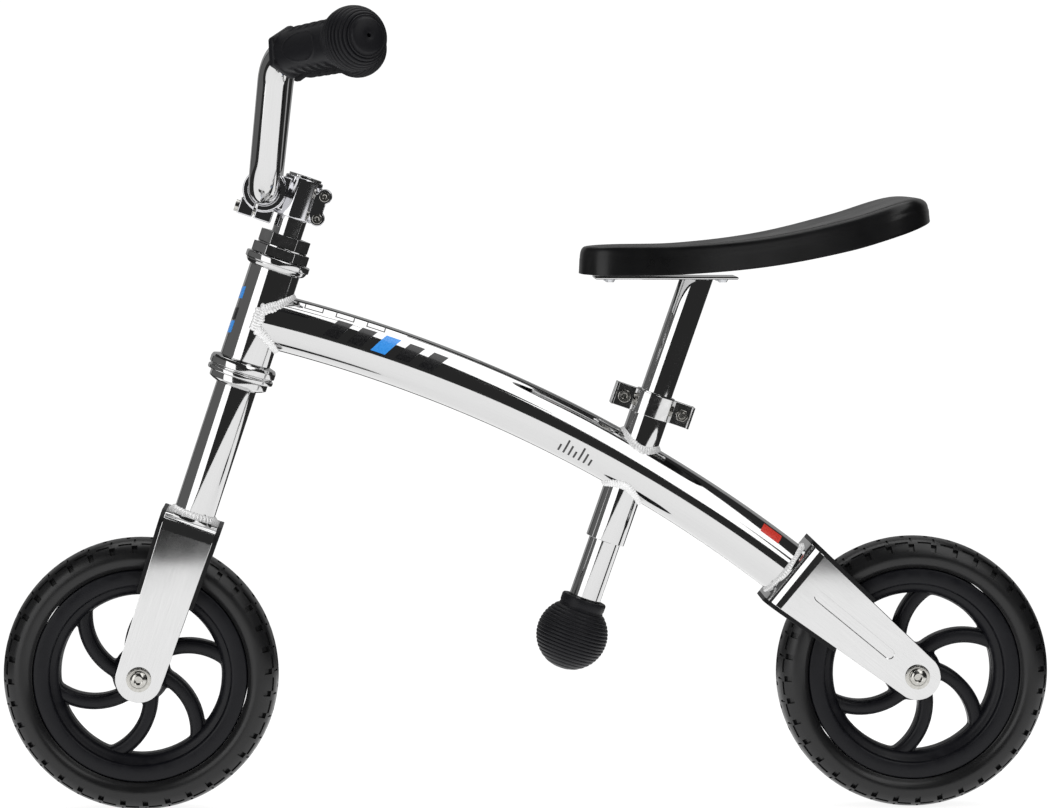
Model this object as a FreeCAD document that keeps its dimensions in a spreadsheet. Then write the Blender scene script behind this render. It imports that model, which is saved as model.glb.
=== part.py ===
import FreeCAD, Part
import math
import os
import Sketcher
from FreeCAD import Placement, Rotation, Vector

# A child's balance bike. X runs along the bike with the front wheel at -X, Y runs across it and
# Z is up. The origin is on the ground, midway between the wheels. All lengths are millimetres.

SIZES = {
    "wheelbase": 565.0, "wheel_radius": 100.0, "tyre_width": 40.0, "rim_radius": 78.0,
    "rim_width": 32.0, "rim_step_radius": 66.0, "rim_step_width": 24.0, "rim_inner_radius": 58.7,
    "spoke_width": 11.0, "spoke_depth": 15.0, "hub_radius": 17.0, "hub_length": 44.0,
    "bearing_outside": 22.0, "bearing_width": 7.0, "axle_diameter": 8.0, "bolt_head_diameter": 13.0,
    "bolt_head_height": 4.4, "washer_diameter": 18.0, "washer_thickness": 1.5,
    "steering_angle": 18.4, "bracket_angle": -50.7, "post_angle": 19.0,
    "bracket_width": 62.0, "bracket_thickness": 3.5, "crown_height": 122.0, "bend_radius": 13.0,
    "bracket_end_radius": 17.0, "fork_crown_half": 19.7, "rear_crown_half": 25.9,
    "guard_thickness": 2.6, "guard_edge": 3.0, "guard_end_height": 60.0,
    "steerer_diameter": 25.4, "steerer_bore": 22.4, "fork_tube_diameter": 30.0, "fork_tube_top": 221.5,
    "steerer_top": 336.5, "head_tube_diameter": 37.4, "head_tube_bore": 30.2,
    "head_tube_bottom": 241.0, "head_tube_top": 310.5, "cup_diameter": 49.0, "cup_insert": 7.0,
    "lower_cup_bottom": 229.0, "upper_cup_top": 319.2, "upper_cup_diameter": 47.6,
    "race_diameter": 43.0, "race_height": 7.2, "ball_diameter": 4.4, "ball_circle": 17.9,
    "adjusting_nut_flats": 36.4, "adjusting_nut_height": 7.3, "lock_washer_height": 1.2,
    "locknut_flats": 32.2, "locknut_height": 8.8,
    "quill_diameter": 22.2, "quill_bottom": 236.0, "stem_bottom": 350.5, "stem_top": 380.0,
    "stem_clamp_diameter": 28.0, "stem_reach": 25.0, "bar_clamp_height": 363.5,
    "bar_clamp_diameter": 31.0, "bar_clamp_width": 36.0, "bar_diameter": 22.2, "bar_bore": 18.2,
    "main_arc_radius": 1022.0, "main_arc_x": -435.3, "main_arc_z": -633.6,
    "main_tube_diameter": 40.4, "main_tube_bore": 36.0,
    "post_x": 103.9, "post_z": 336.3, "post_diameter": 23.4, "seat_tube_diameter": 28.8,
    "seat_tube_bore": 23.52, "seat_tube_bottom": -147.2, "seat_tube_top": -33.0,
    "clamp_diameter": 33.0, "clamp_height": 16.5, "clamp_bottom": -50.5,
    "clamp_ear_reach": 30.0, "clamp_ear_thickness": 6.0, "clamp_ear_gap": 1.8, "clamp_lip_thickness": 1.8,
    "clamp_lip_reach": 9.0, "clamp_screw_offset": 22.2, "clamp_screw_length": 16.0,
    "clamp_screw_head": 9.2, "clamp_screw_head_height": 5.0, "clamp_socket": 4.0, "clamp_nut_flats": 8.0,
    "clamp_nut_height": 3.6, "screw_diameter": 5.0, "screw_clearance": 5.2, "axle_socket": 5.0,
    "stem_ear_radius": 5.4, "stem_ear_width": 17.0, "stem_slot": 1.6, "stem_socket": 3.0,
    "stem_screw_head": 7.2, "stem_screw_head_height": 3.0, "bar_lug_reach": 39.0, "bar_screw_height": 346.2,
    "bar_screw_head": 8.4, "bar_socket": 4.0, "stem_cap_radius": 12.2, "stem_cap_thickness": 1.8,
    "fork_weld_height": 5.0, "arc_start": 14.0, "arc_end": 40.0, "seat_boss_length": 100.0,
    "seat_boss_width": 34.0, "seat_plate_length": 104.0, "seat_plate_centre": 99.0,
    "post_bottom": -214.0, "post_top": 58.0, "collar_diameter": 33.4, "collar_top": -192.5,
    "bumper_height": -220.5, "bumper_radius": 26.4, "bumper_flat": -246.0,
    "seat_front_x": 36.0, "seat_back_x": 290.0, "seat_nose_half": 27.0, "seat_rear_half": 66.0,
    "seat_wall": 4.0, "seat_plate_width": 38.0, "seat_plate_thickness": 2.0, "seat_plate_level": 388.6,
    "weld_leg": 3.6,
    "grip_diameter": 31.0, "grip_flange_diameter": 37.0, "grip_length": 78.0, "grip_ball_radius": 22.6,
}

doc = FreeCAD.newDocument("balance_bike")
sheet = doc.addObject("Spreadsheet::Sheet", "sizes")
for row, (alias, number) in enumerate(SIZES.items(), start=1):
    sheet.set(f"A{row}", alias)
    sheet.set(f"B{row}", str(number))
    sheet.setAlias(f"B{row}", alias)
doc.recompute()

nodes = {}


def size(alias):
    """One driving dimension, read back from the sheet."""
    return float(sheet.get(alias))


def dim(*terms, scale=1.0):
    """A sum of sheet cells, as a number and as the expression that drives it."""
    number = 0.0
    words = []
    for term in terms:
        sign = -1 if term.startswith("-") else 1
        alias = term.lstrip("-")
        number += sign * size(alias)
        words.append(f"{'-' if sign < 0 else '+'} sizes.{alias}")
    return scale * number, f"{scale} * (0 {' '.join(words)})"


def half(*terms):
    """Half of a sum of sheet cells."""
    return dim(*terms, scale=0.5)


def drive(item, **lengths):
    """Bind an object's sizes to the sheet, or set the ones that are plain numbers."""
    for prop, length in lengths.items():
        if isinstance(length, tuple):
            setattr(item, prop, length[0])
            item.setExpression(prop, length[1])
        else:
            setattr(item, prop, length)


def shift(frame, across=0.0, side=0.0, along=0.0):
    """A place inside a tilted frame: across is its X, side its Y and along its Z."""
    return frame.multiply(Placement(Vector(across, side, along), Rotation()))


def solid(kind, name, place, **lengths):
    """A Part primitive with its sizes bound to the sheet."""
    item = doc.addObject("Part::" + kind, name)
    drive(item, **lengths)
    item.Placement = place
    return item


def cylinder(name, place, radius, height):
    return solid("Cylinder", name, place, Radius=radius, Height=height)


def cone(name, place, lower, upper, height):
    return solid("Cone", name, place, Radius1=lower, Radius2=upper, Height=height)


def box(name, place, length, width, height):
    """A block centred on its place in X and Y, standing on it in Z."""
    numbers = [side[0] if isinstance(side, tuple) else side for side in (length, width)]
    corner = shift(place, across=-numbers[0] / 2, side=-numbers[1] / 2)
    return solid("Box", name, corner, Length=length, Width=width, Height=height)


def hexagon(name, place, flats, height):
    """A six-sided prism given by its width across flats."""
    corner = (flats[0] / math.sqrt(3), f"({flats[1]}) / sqrt(3)")
    item = solid("Prism", name, place, Circumradius=corner, Height=height)
    item.Polygon = 6
    return item


def cut(name, base, tool):
    item = doc.addObject("Part::Cut", name)
    item.Base = base
    item.Tool = tool
    return item


def fuse(name, *shapes):
    item = doc.addObject("Part::MultiFuse", name)
    item.Shapes = list(shapes)
    return item


def common(name, *shapes):
    item = doc.addObject("Part::MultiCommon", name)
    item.Shapes = list(shapes)
    return item


def group(name, *shapes):
    """Separate solids that share one node."""
    item = doc.addObject("Part::Compound", name)
    item.Links = list(shapes)
    return item


def ring(name, place, outer, inner, height):
    """A plain sleeve or washer."""
    body = cylinder(name + "_outside", place, outer, height)
    return cut(name, body, cylinder(name + "_bore", place, inner, height))


def feature(name, shape, place=None):
    """A freely made shape, for the few pieces that no primitive or sketch describes."""
    item = doc.addObject("Part::Feature", name)
    item.Shape = shape
    if place is not None:
        item.Placement = place
    return item


def keep(node, item):
    """Name a finished sub-part, which becomes one file."""
    item.Label = node
    nodes[node] = item
    return item


def closed_sketch(body, name, plane, corners):
    """A sketch of straight edges through corners, each an (x, y) pair of driven lengths."""
    sketch = body.newObject("Sketcher::SketchObject", name)
    origin_plane = next(item for item in body.Origin.OriginFeatures if item.Role == plane)
    sketch.AttachmentSupport = [(origin_plane, "")]
    sketch.MapMode = "FlatFace"
    points = [Vector(x[0], y[0], 0) for x, y in corners]
    count = len(points)
    for index in range(count):
        sketch.addGeometry(Part.LineSegment(points[index], points[(index + 1) % count]), False)
    for index in range(count):
        sketch.addConstraint(Sketcher.Constraint("Coincident", index, 2, (index + 1) % count, 1))
    for index, corner in enumerate(corners):
        for kind, (number, text) in zip(("DistanceX", "DistanceY"), corner):
            row = sketch.addConstraint(Sketcher.Constraint(kind, -1, 1, index, 1, number))
            sketch.setExpression(f"Constraints[{row}]", text)
    return sketch


def turned(name, place, profile):
    """A body turned about its own Z from a profile of (radius, height) corners."""
    body = doc.addObject("PartDesign::Body", name)
    sketch = closed_sketch(body, name + "_profile", "XZ_Plane", profile)
    turn = body.newObject("PartDesign::Revolution", name + "_turn")
    turn.Profile = (sketch, [""])
    turn.ReferenceAxis = (sketch, ["V_Axis"])
    turn.Angle = 360
    body.Placement = place
    return body


# Frames that the pieces are built in. Each has its own Z along the piece's main axis.
half_base = size("wheelbase") / 2
fork_frame = Placement(Vector(-half_base, 0, size("wheel_radius")),
                       Rotation(Vector(0, 1, 0), size("steering_angle")))
rear_frame = Placement(Vector(half_base, 0, size("wheel_radius")),
                       Rotation(Vector(0, 1, 0), size("bracket_angle")))
post_frame = Placement(Vector(size("post_x"), 0, size("post_z")),
                       Rotation(Vector(0, 1, 0), size("post_angle")))
to_side = Placement(Vector(), Rotation(Vector(1, 0, 0), -90))
to_back = Placement(Vector(), Rotation(Vector(0, 1, 0), 90))


def arc_frame(angle):
    """The plane of the main tube's arc, turned so that its X points at one place on the arc."""
    turn = math.radians(angle)
    outward = Vector(math.sin(turn), 0, math.cos(turn))
    onward = Vector(math.cos(turn), 0, -math.sin(turn))
    centre = Vector(size("main_arc_x"), 0, size("main_arc_z"))
    return Placement(centre, Rotation(outward, onward, Vector(0, 1, 0), "ZXY"))


def arc_tube(name, radius, start, end):
    """A stretch of the arched main tube, as a solid rod of the given radius."""
    item = solid("Torus", name, arc_frame(start), Radius1=dim("main_arc_radius"), Radius2=radius)
    item.Angle3 = end - start
    return item


def rear_room(name, place_height):
    """The space behind the rear crown, which trims what is welded to it."""
    return box(name, shift(rear_frame, along=place_height - 200), 300, 200, 200)


def main_tube():
    outside = arc_tube("main_tube_outside", half("main_tube_diameter"), size("arc_start"), size("arc_end"))
    inside = arc_tube("main_tube_inside", half("main_tube_bore"), size("arc_start"), size("arc_end"))
    tube = cut("main_tube_pipe", outside, inside)
    head = cylinder("main_tube_head_cope", shift(fork_frame, along=200),
                    half("head_tube_diameter"), 160)
    seat = cylinder("main_tube_seat_hole", shift(post_frame, along=-160),
                    half("seat_tube_diameter"), 160)
    crown = rear_room("main_tube_crown_trim", size("crown_height"))
    front = box("main_tube_front_trim", shift(fork_frame, across=-60, along=200), 120, 100, 200)
    tools = fuse("main_tube_trims", head, seat, crown, front)
    keep("main_tube", cut("main_tube", tube, tools))


def head_tube():
    height = dim("head_tube_top", "-head_tube_bottom")
    place = shift(fork_frame, along=size("head_tube_bottom"))
    keep("head_tube", ring("head_tube", place, half("head_tube_diameter"),
                           half("head_tube_bore"), height))


def seat_tube():
    height = dim("seat_tube_top", "-seat_tube_bottom")
    place = shift(post_frame, along=size("seat_tube_bottom"))
    keep("seat_tube", ring("seat_tube", place, half("seat_tube_diameter"),
                           half("seat_tube_bore"), height))


def joint_weld(name, place, tube_radius, height, start, end):
    """The fillet weld round a tube that meets the arched tube."""
    leg = size("weld_leg")
    near_arc = arc_tube(name + "_reach", (half("main_tube_diameter")[0] + leg,
                                          "sizes.main_tube_diameter / 2 + sizes.weld_leg"), start, end)
    near_tube = cylinder(name + "_band", place, (tube_radius[0] + leg,
                                                 tube_radius[1] + " + sizes.weld_leg"), height)
    arc = arc_tube(name + "_arc", half("main_tube_diameter"), start, end)
    tube = cylinder(name + "_tube", place, tube_radius, height)
    return cut(name + "_fillet", common(name + "_overlap", near_arc, near_tube),
               fuse(name + "_parents", arc, tube))


def welds():
    place = shift(fork_frame, along=250)
    fillet = joint_weld("head_tube_weld", place, half("head_tube_diameter"), 70, size("arc_start"), 24.0)
    front = box("head_tube_weld_trim", shift(fork_frame, across=-60, along=200), 120, 100, 200)
    keep("head_tube_weld", cut("head_tube_weld", fillet, front))
    place = shift(post_frame, along=-150)
    keep("seat_tube_welds", joint_weld("seat_tube_welds", place, half("seat_tube_diameter"),
                                       120, 24.0, 34.0))
    reach = arc_tube("rear_weld_reach", (half("main_tube_diameter")[0] + size("weld_leg"),
                                         "sizes.main_tube_diameter / 2 + sizes.weld_leg"),
                     34.0, size("arc_end"))
    layer = box("rear_weld_layer", shift(rear_frame, along=size("crown_height")), 60, 60,
                dim("weld_leg"))
    arc = arc_tube("rear_weld_arc", half("main_tube_diameter"), 34.0, size("arc_end"))
    keep("rear_bracket_weld", cut("rear_bracket_weld", common("rear_weld_slice", reach, layer), arc))
    place = shift(fork_frame, along=size("crown_height"))
    skirt = cone("fork_weld_skirt", place, (18.8, "sizes.fork_tube_diameter / 2 + sizes.weld_leg + 0.2"),
                 half("fork_tube_diameter"), dim("fork_weld_height"))
    keep("fork_bracket_weld", cut("fork_bracket_weld", skirt,
                                  cylinder("fork_weld_tube", place, half("fork_tube_diameter"),
                                           dim("fork_weld_height"))))


def tapered_side(low_half, high_half, reach, low_end):
    """A bracket's side outline, round at the axle and wider at the crown, as a block."""
    top = size("crown_height") + 20
    slope = (high_half - low_half) / size("crown_height")
    points = [Vector(-low_half, -reach, 0), Vector(low_half, -reach, 0),
              Vector(low_half + slope * top, -reach, top), Vector(-low_half - slope * top, -reach, top)]
    if low_end is not None:
        low_width = low_half + slope * low_end
        points[0] = Vector(-low_width, -reach, low_end)
        points[1] = Vector(low_width, -reach, low_end)
    block = Part.Face(Part.makePolygon(points + points[:1])).extrude(Vector(0, 2 * reach, 0))
    if low_end is None:
        end = Part.makeCylinder(low_half, 2 * reach, Vector(0, -reach, 0), Vector(0, 1, 0))
        block = block.fuse(end)
    return block


def bent_strip(name, outside_half, top, thickness, bend, width, bottom):
    """A strip bent into a U, open downwards, before its sides are trimmed."""
    flat = [(outside_half, bottom), (outside_half, top), (-outside_half, top), (-outside_half, bottom)]
    inner = outside_half - thickness
    flat += [(-inner, bottom), (-inner, top - thickness), (inner, top - thickness), (inner, bottom)]
    points = [Vector(-width, y, z) for y, z in flat]
    strip = Part.Face(Part.makePolygon(points + points[:1])).extrude(Vector(2 * width, 0, 0))
    for level, radius in ((top, bend), (top - thickness, bend - thickness)):
        edges = [edge for edge in strip.Edges
                 if abs(edge.BoundBox.ZMin - level) < 0.01 and abs(edge.BoundBox.ZMax - level) < 0.01
                 and edge.BoundBox.XLength > width and abs(edge.BoundBox.YMin) > inner - 0.01]
        strip = strip.makeFillet(radius, edges)
    return strip


def bracket(node, frame, crown_half, groove):
    """A U-shaped wheel bracket, with its axle holes and, at the back, a pressed groove."""
    outside = size("bracket_width") / 2
    strip = bent_strip(node, outside, size("crown_height"), size("bracket_thickness"),
                       size("bend_radius"), 40.0, -30.0)
    side = tapered_side(size("bracket_end_radius"), crown_half, outside + 5, None)
    shape = strip.common(side)
    hole = Part.makeCylinder(size("axle_diameter") / 2 + 0.1, 100, Vector(0, -50, 0), Vector(0, 1, 0))
    shape = shape.cut(hole)
    if groove:
        for face in (-outside, outside - 0.8):
            slot = Part.makeBox(7.5, 0.8, 66, Vector(-3.75, face, 27))
            for end in (27, 93):
                slot = slot.fuse(Part.makeCylinder(3.75, 0.8, Vector(0, face, end), Vector(0, 1, 0)))
            shape = shape.cut(slot)
    keep(node, feature(node, shape.removeSplitter(), frame))


def finger_guard(node, frame, crown_half):
    """A black plastic liner inside a bracket, standing a little proud along both edges."""
    outside = size("bracket_width") / 2 - size("bracket_thickness")
    top = size("crown_height") - size("bracket_thickness")
    bend = size("bend_radius") - size("bracket_thickness")
    liner = bent_strip(node, outside, top, size("guard_thickness"), bend, 40.0,
                       size("guard_end_height"))
    edge = size("guard_edge")
    side = tapered_side(size("bracket_end_radius") + edge, crown_half + edge, outside + 20,
                        size("guard_end_height"))
    shape = liner.common(side)
    rim_outside = size("bracket_width") / 2
    rim = bent_strip(node + "_rim", rim_outside, size("crown_height"), size("bracket_thickness"),
                     size("bend_radius"), 40.0, size("guard_end_height"))
    inner_side = tapered_side(size("bracket_end_radius"), crown_half, rim_outside + 20, -10)
    rim = rim.common(side).cut(inner_side)
    keep(node, feature(node, shape.fuse(rim).removeSplitter(), frame))


def headset():
    """Both cups, the crown race, the nuts above and the two rings of loose balls."""
    zero = (0.0, "0")
    bore = half("steerer_diameter")[0] + 0.6
    clear = (bore, "sizes.steerer_diameter / 2 + 0.6")
    track = (size("ball_circle") + 2.7, "sizes.ball_circle + 2.7")
    cavity = (4.6, "sizes.ball_diameter + 0.2")
    flange = dim("head_tube_bottom", "-lower_cup_bottom")
    insert = dim("head_tube_bottom", "-lower_cup_bottom", "cup_insert")
    tube_bore = half("head_tube_bore")
    keep("headset_lower_cup", turned(
        "headset_lower_cup", shift(fork_frame, along=size("lower_cup_bottom")),
        [(track, zero), (half("cup_diameter"), zero), (half("cup_diameter"), flange),
         (tube_bore, flange), (tube_bore, insert), (clear, insert), (clear, cavity), (track, cavity)]))
    flange = dim("upper_cup_top", "-head_tube_top")
    rise = dim("upper_cup_top", "-head_tube_top", "-ball_diameter")
    rise = (rise[0] - 0.2, rise[1] + " - 0.2")
    insert = size("cup_insert")
    up = [(number[0] + insert, number[1] + " + sizes.cup_insert") for number in (zero, rise, flange)]
    keep("headset_upper_cup", turned(
        "headset_upper_cup", shift(fork_frame, along=size("head_tube_top") - insert),
        [(clear, zero), (tube_bore, zero), (tube_bore, up[0]), (half("head_tube_diameter"), up[0]),
         (half("upper_cup_diameter"), up[1]), (half("upper_cup_diameter"), up[2]), (track, up[2]),
         (track, up[1]), (clear, up[1])]))
    race_base = size("lower_cup_bottom") - 0.3 - size("race_height")
    keep("crown_race", turned(
        "crown_race", shift(fork_frame, along=race_base),
        [(half("steerer_diameter"), zero), (half("fork_tube_diameter"), zero),
         (half("race_diameter"), (2.6, "sizes.race_height - 4.6")),
         (half("race_diameter"), dim("race_height")), (half("steerer_diameter"), dim("race_height"))]))
    for node, height in (("lower_headset_balls", size("lower_cup_bottom") + 2.05),
                         ("upper_headset_balls", size("upper_cup_top") - 2.05)):
        balls = []
        for index in range(18):
            turn = math.radians(20 * index)
            place = shift(fork_frame, size("ball_circle") * math.cos(turn),
                          size("ball_circle") * math.sin(turn), height)
            balls.append(solid("Sphere", f"{node}_{index}", place, Radius=half("ball_diameter")))
        keep(node, group(node, *balls))
    height = size("upper_cup_top") + 0.3
    for node, flats, thick in (("adjusting_nut", "adjusting_nut_flats", "adjusting_nut_height"),
                               ("lock_washer", None, "lock_washer_height"),
                               ("locknut", "locknut_flats", "locknut_height")):
        place = shift(fork_frame, along=height)
        if flats:
            outside = hexagon(node + "_hexagon", place, dim(flats), dim(thick))
        else:
            outside = cylinder(node + "_disc", place, half("adjusting_nut_flats"), dim(thick))
        bore_cut = cylinder(node + "_thread", place, half("steerer_diameter"), dim(thick))
        keep(node, cut(node, outside, bore_cut))
        height += size(thick)


def fork_tube():
    """One turned tube: thick below the crown race, and the threaded steerer above it."""
    low = size("crown_height")
    shoulder = size("fork_tube_top") - low
    thick = cylinder("fork_tube_thick", shift(fork_frame, along=low), half("fork_tube_diameter"),
                     dim("fork_tube_top", "-crown_height"))
    thin = cylinder("fork_tube_steerer", shift(fork_frame, along=low + shoulder),
                    half("steerer_diameter"), dim("steerer_top", "-fork_tube_top"))
    bore = cylinder("fork_tube_bore", shift(fork_frame, along=low), half("steerer_bore"), 220)
    keep("fork_tube", cut("fork_tube", fuse("fork_tube_solid", thick, thin), bore))


def button_bolt(name, place, length, diameter, head, head_height, key):
    """A domed socket screw: its shank points up its own Z and its head hangs below."""
    shank = cylinder(name + "_shank", place, half(diameter), length)
    low = shift(place, along=-size(head_height))
    lower = cone(name + "_dome", low, (size(head) / 2 - 2.2, f"sizes.{head} / 2 - 2.2"), half(head),
                 dim(head_height, scale=0.6))
    upper = cylinder(name + "_rim", shift(place, along=-0.4 * size(head_height)), half(head),
                     dim(head_height, scale=0.4))
    socket = hexagon(name + "_socket", low, (key, str(key)), dim(head_height, scale=0.6))
    return cut(name, fuse(name + "_whole", shank, lower, upper), socket)


def axle_parts(end, frame_place):
    """The through bolt, its sleeve nut, washers and the spacers inside one bracket."""
    hub = Placement(frame_place.Base, Rotation()).multiply(to_side)
    face = size("bracket_width") / 2
    head_seat = face + size("washer_thickness")
    bolt = button_bolt(end + "_axle_bolt", shift(hub, along=-head_seat), 2 * face - 8.0,
                       "axle_diameter", "bolt_head_diameter", "bolt_head_height", size("axle_socket"))
    keep(end + "_axle_bolt", bolt)
    flipped = hub.multiply(Placement(Vector(), Rotation(Vector(1, 0, 0), 180)))
    nut = button_bolt(end + "_axle_nut", shift(flipped, along=-head_seat), 8.0,
                      "axle_diameter", "bolt_head_diameter", "bolt_head_height", size("axle_socket"))
    keep(end + "_axle_nut", nut)
    washers = [ring(f"{end}_washer_{index}", shift(hub, along=height), half("washer_diameter"),
                    (4.1, "sizes.axle_diameter / 2 + 0.1"), dim("washer_thickness"))
               for index, height in enumerate((-head_seat, face))]
    keep(end + "_axle_washers", group(end + "_axle_washers", *washers))
    inner_face = face - size("bracket_thickness")
    gap = inner_face - size("hub_length") / 2 - 0.3
    middle = size("hub_length") - 2 * size("bearing_width") - 0.6
    layout = ((-inner_face, gap), (-middle / 2, middle), (inner_face - gap, gap))
    spacers = [ring(f"{end}_spacer_{index}", shift(hub, along=height), 6.0,
                    (4.1, "sizes.axle_diameter / 2 + 0.1"), length)
               for index, (height, length) in enumerate(layout)]
    keep(end + "_axle_spacers", group(end + "_axle_spacers", *spacers))


def spoke(turn):
    """One curved spoke, a stretch of a ring that runs from the hub out to the rim."""
    inner, middle, outer = Vector(4.1, 15.5, 0), Vector(27.5, 20.0, 0), Vector(61.5, -3.0, 0)
    centre_line = Part.Arc(inner, middle, outer)
    radius, centre = centre_line.toShape().Curve.Radius, centre_line.toShape().Curve.Center
    width, depth = size("spoke_width"), size("spoke_depth")
    start = math.degrees(math.atan2(outer.y - centre.y, outer.x - centre.x))
    sweep = math.degrees(math.atan2(inner.y - centre.y, inner.x - centre.x)) - start
    base = Vector(centre.x, centre.y, -depth / 2)
    blade = Part.makeCylinder(radius + width / 2, depth, base, Vector(0, 0, 1), sweep)
    blade = blade.cut(Part.makeCylinder(radius - width / 2, depth, base, Vector(0, 0, 1), 360))
    blade.rotate(base, Vector(0, 0, 1), start)
    blade.rotate(Vector(), Vector(0, 0, 1), turn)
    return blade


def wheel(end, x_centre, turn):
    """A solid tyre on a one-piece plastic wheel with six curved spokes and two sealed bearings."""
    # The wheel's own Z points at the near side, so its spokes curve the same way on both wheels.
    near = Placement(Vector(x_centre, 0, size("wheel_radius")), Rotation(Vector(1, 0, 0), 90))
    rim_half, step_half = size("rim_width") / 2, size("rim_step_width") / 2
    tyre_half, outer = size("tyre_width") / 2, size("wheel_radius")
    bead, seat = size("rim_radius") + 0.5, size("rim_radius")
    upper = [(seat, rim_half), (bead + 3, tyre_half - 2), (bead + 8, tyre_half), (outer - 8, tyre_half - 1.2),
             (outer - 3, tyre_half - 6), (outer, 7.0)]
    outline = upper + [(radius, -height) for radius, height in reversed(upper)]
    points = [Vector(radius, 0, height) for radius, height in outline]
    tyre = Part.Face(Part.makePolygon(points + points[:1])).revolve(Vector(), Vector(0, 0, 1), 360)
    keep(end + "_tyre", feature(end + "_tyre", tyre, near))
    inner, step = size("rim_inner_radius"), size("rim_step_radius")
    outline = [(inner, step_half), (step, step_half), (step, rim_half), (seat, rim_half),
               (seat, -rim_half), (step, -rim_half), (step, -step_half), (inner, -step_half)]
    points = [Vector(radius, 0, height) for radius, height in outline]
    core = Part.Face(Part.makePolygon(points + points[:1])).revolve(Vector(), Vector(0, 0, 1), 360)
    hub_half = size("hub_length") / 2
    hub = Part.makeCylinder(size("hub_radius"), 2 * hub_half, Vector(0, 0, -hub_half))
    core = core.fuse([hub] + [spoke(60.0 * index + turn) for index in range(6)])
    bore = Part.makeCylinder(8.5, 2 * hub_half, Vector(0, 0, -hub_half))
    pocket = size("bearing_width")
    for height in (-hub_half, hub_half - pocket):
        bore = bore.fuse(Part.makeCylinder(size("bearing_outside") / 2, pocket, Vector(0, 0, height)))
    core = core.cut(bore).removeSplitter()
    keep(end + "_wheel_core", feature(end + "_wheel_core", core, near))
    bearings = [ring(f"{end}_bearing_{index}", shift(near, along=height), half("bearing_outside"),
                     (4.05, "sizes.axle_diameter / 2 + 0.05"), dim("bearing_width"))
                for index, height in enumerate((-hub_half, hub_half - pocket))]
    keep(end + "_bearings", group(end + "_bearings", *bearings))


def seat_clamp():
    """Two half bands with bent ears, drawn together by one screw in front and one behind."""
    low, tall = size("clamp_bottom"), size("clamp_height")
    inner, outer = size("seat_tube_diameter") / 2, size("clamp_diameter") / 2
    reach, thick = size("clamp_ear_reach"), size("clamp_ear_thickness")
    lip_thick, lip_reach = size("clamp_lip_thickness"), size("clamp_lip_reach")
    offset, gap = size("clamp_screw_offset"), size("clamp_ear_gap")
    for node, side in (("seat_clamp_near_half", -1), ("seat_clamp_far_half", 1)):
        band = Part.makeCylinder(outer, tall, Vector(0, 0, low))
        for toward in (-1, 1):
            start = inner if toward > 0 else -reach
            ear = Part.makeBox(reach - inner, thick, tall, Vector(start, 0 if side > 0 else -thick, low))
            lip_x = reach - lip_thick if toward > 0 else -reach
            lip_y = lip_reach - 4.0 if side > 0 else -lip_reach
            lip = Part.makeBox(lip_thick, 4.0, tall, Vector(lip_x, lip_y, low))
            band = band.fuse([ear, lip])
        band = band.cut(Part.makeCylinder(inner, tall, Vector(0, 0, low)))
        edge = gap / 2 if side > 0 else -40 - gap / 2
        band = band.common(Part.makeBox(80, 40, tall, Vector(-40, edge, low)))
        for x in (-offset, offset):
            hole = Part.makeCylinder(size("screw_clearance") / 2, 40, Vector(x, -20, low + tall / 2),
                                     Vector(0, 1, 0))
            band = band.cut(hole)
        keep(node, feature(node, band.removeSplitter(), post_frame))
    bolts, clamp_nuts = [], []
    head_seat = -thick
    for x, side in ((-offset, -1), (offset, 1)):
        place = shift(post_frame, across=x, along=low + tall / 2)
        place = place.multiply(Placement(Vector(), Rotation(Vector(1, 0, 0), 90 * side)))
        tag = "front" if side < 0 else "back"
        head_place = shift(place, along=head_seat - size("clamp_screw_head_height"))
        shank = cylinder(f"clamp_bolt_{tag}_shank", shift(place, along=head_seat), half("screw_diameter"),
                         dim("clamp_screw_length"))
        head = cylinder(f"clamp_bolt_{tag}_head", head_place, half("clamp_screw_head"),
                        dim("clamp_screw_head_height"))
        key = hexagon(f"clamp_bolt_{tag}_key", head_place, dim("clamp_socket"),
                      dim("clamp_screw_head_height", scale=0.6))
        bolts.append(cut(f"clamp_bolt_{tag}", fuse(f"clamp_bolt_{tag}_whole", shank, head), key))
        nut_place = shift(place, along=thick)
        nut = hexagon(f"clamp_nut_{tag}_hexagon", nut_place, dim("clamp_nut_flats"), dim("clamp_nut_height"))
        hole = cylinder(f"clamp_nut_{tag}_hole", nut_place, half("screw_diameter"), dim("clamp_nut_height"))
        clamp_nuts.append(cut(f"clamp_nut_{tag}", nut, hole))
    keep("seat_clamp_bolts", group("seat_clamp_bolts", *bolts))
    keep("seat_clamp_nuts", group("seat_clamp_nuts", *clamp_nuts))


def seat_post():
    height = dim("post_top", "-post_bottom")
    place = shift(post_frame, along=size("post_bottom"))
    outside = cylinder("seat_post_outside", place, half("post_diameter"), height)
    level = Placement(Vector(size("post_x"), 0, size("seat_plate_level")), Rotation())
    above = box("seat_post_level", level, 120, 60, 40)
    bore = cylinder("seat_post_bore", place, (9.9, "sizes.post_diameter / 2 - 1.8"), height)
    keep("seat_post", cut("seat_post", cut("seat_post_pipe", outside, bore), above))


def post_bumper():
    """The ribbed rubber ball that caps the post, with its collar."""
    centre = shift(post_frame, along=size("bumper_height"))
    ball = solid("Sphere", "bumper_ball", centre, Radius=dim("bumper_radius"))
    collar = cylinder("bumper_collar", centre, half("collar_diameter"), dim("collar_top", "-bumper_height"))
    room = cylinder("bumper_post_room", shift(post_frame, along=size("post_bottom")),
                    half("post_diameter"), 60)
    flat = box("bumper_flat", shift(post_frame, along=size("bumper_flat") - 20), 80, 80, 20)
    body = fuse("bumper_whole", ball, collar)
    keep("post_bumper", cut("post_bumper", body, fuse("bumper_cuts", room, flat)))


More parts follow.
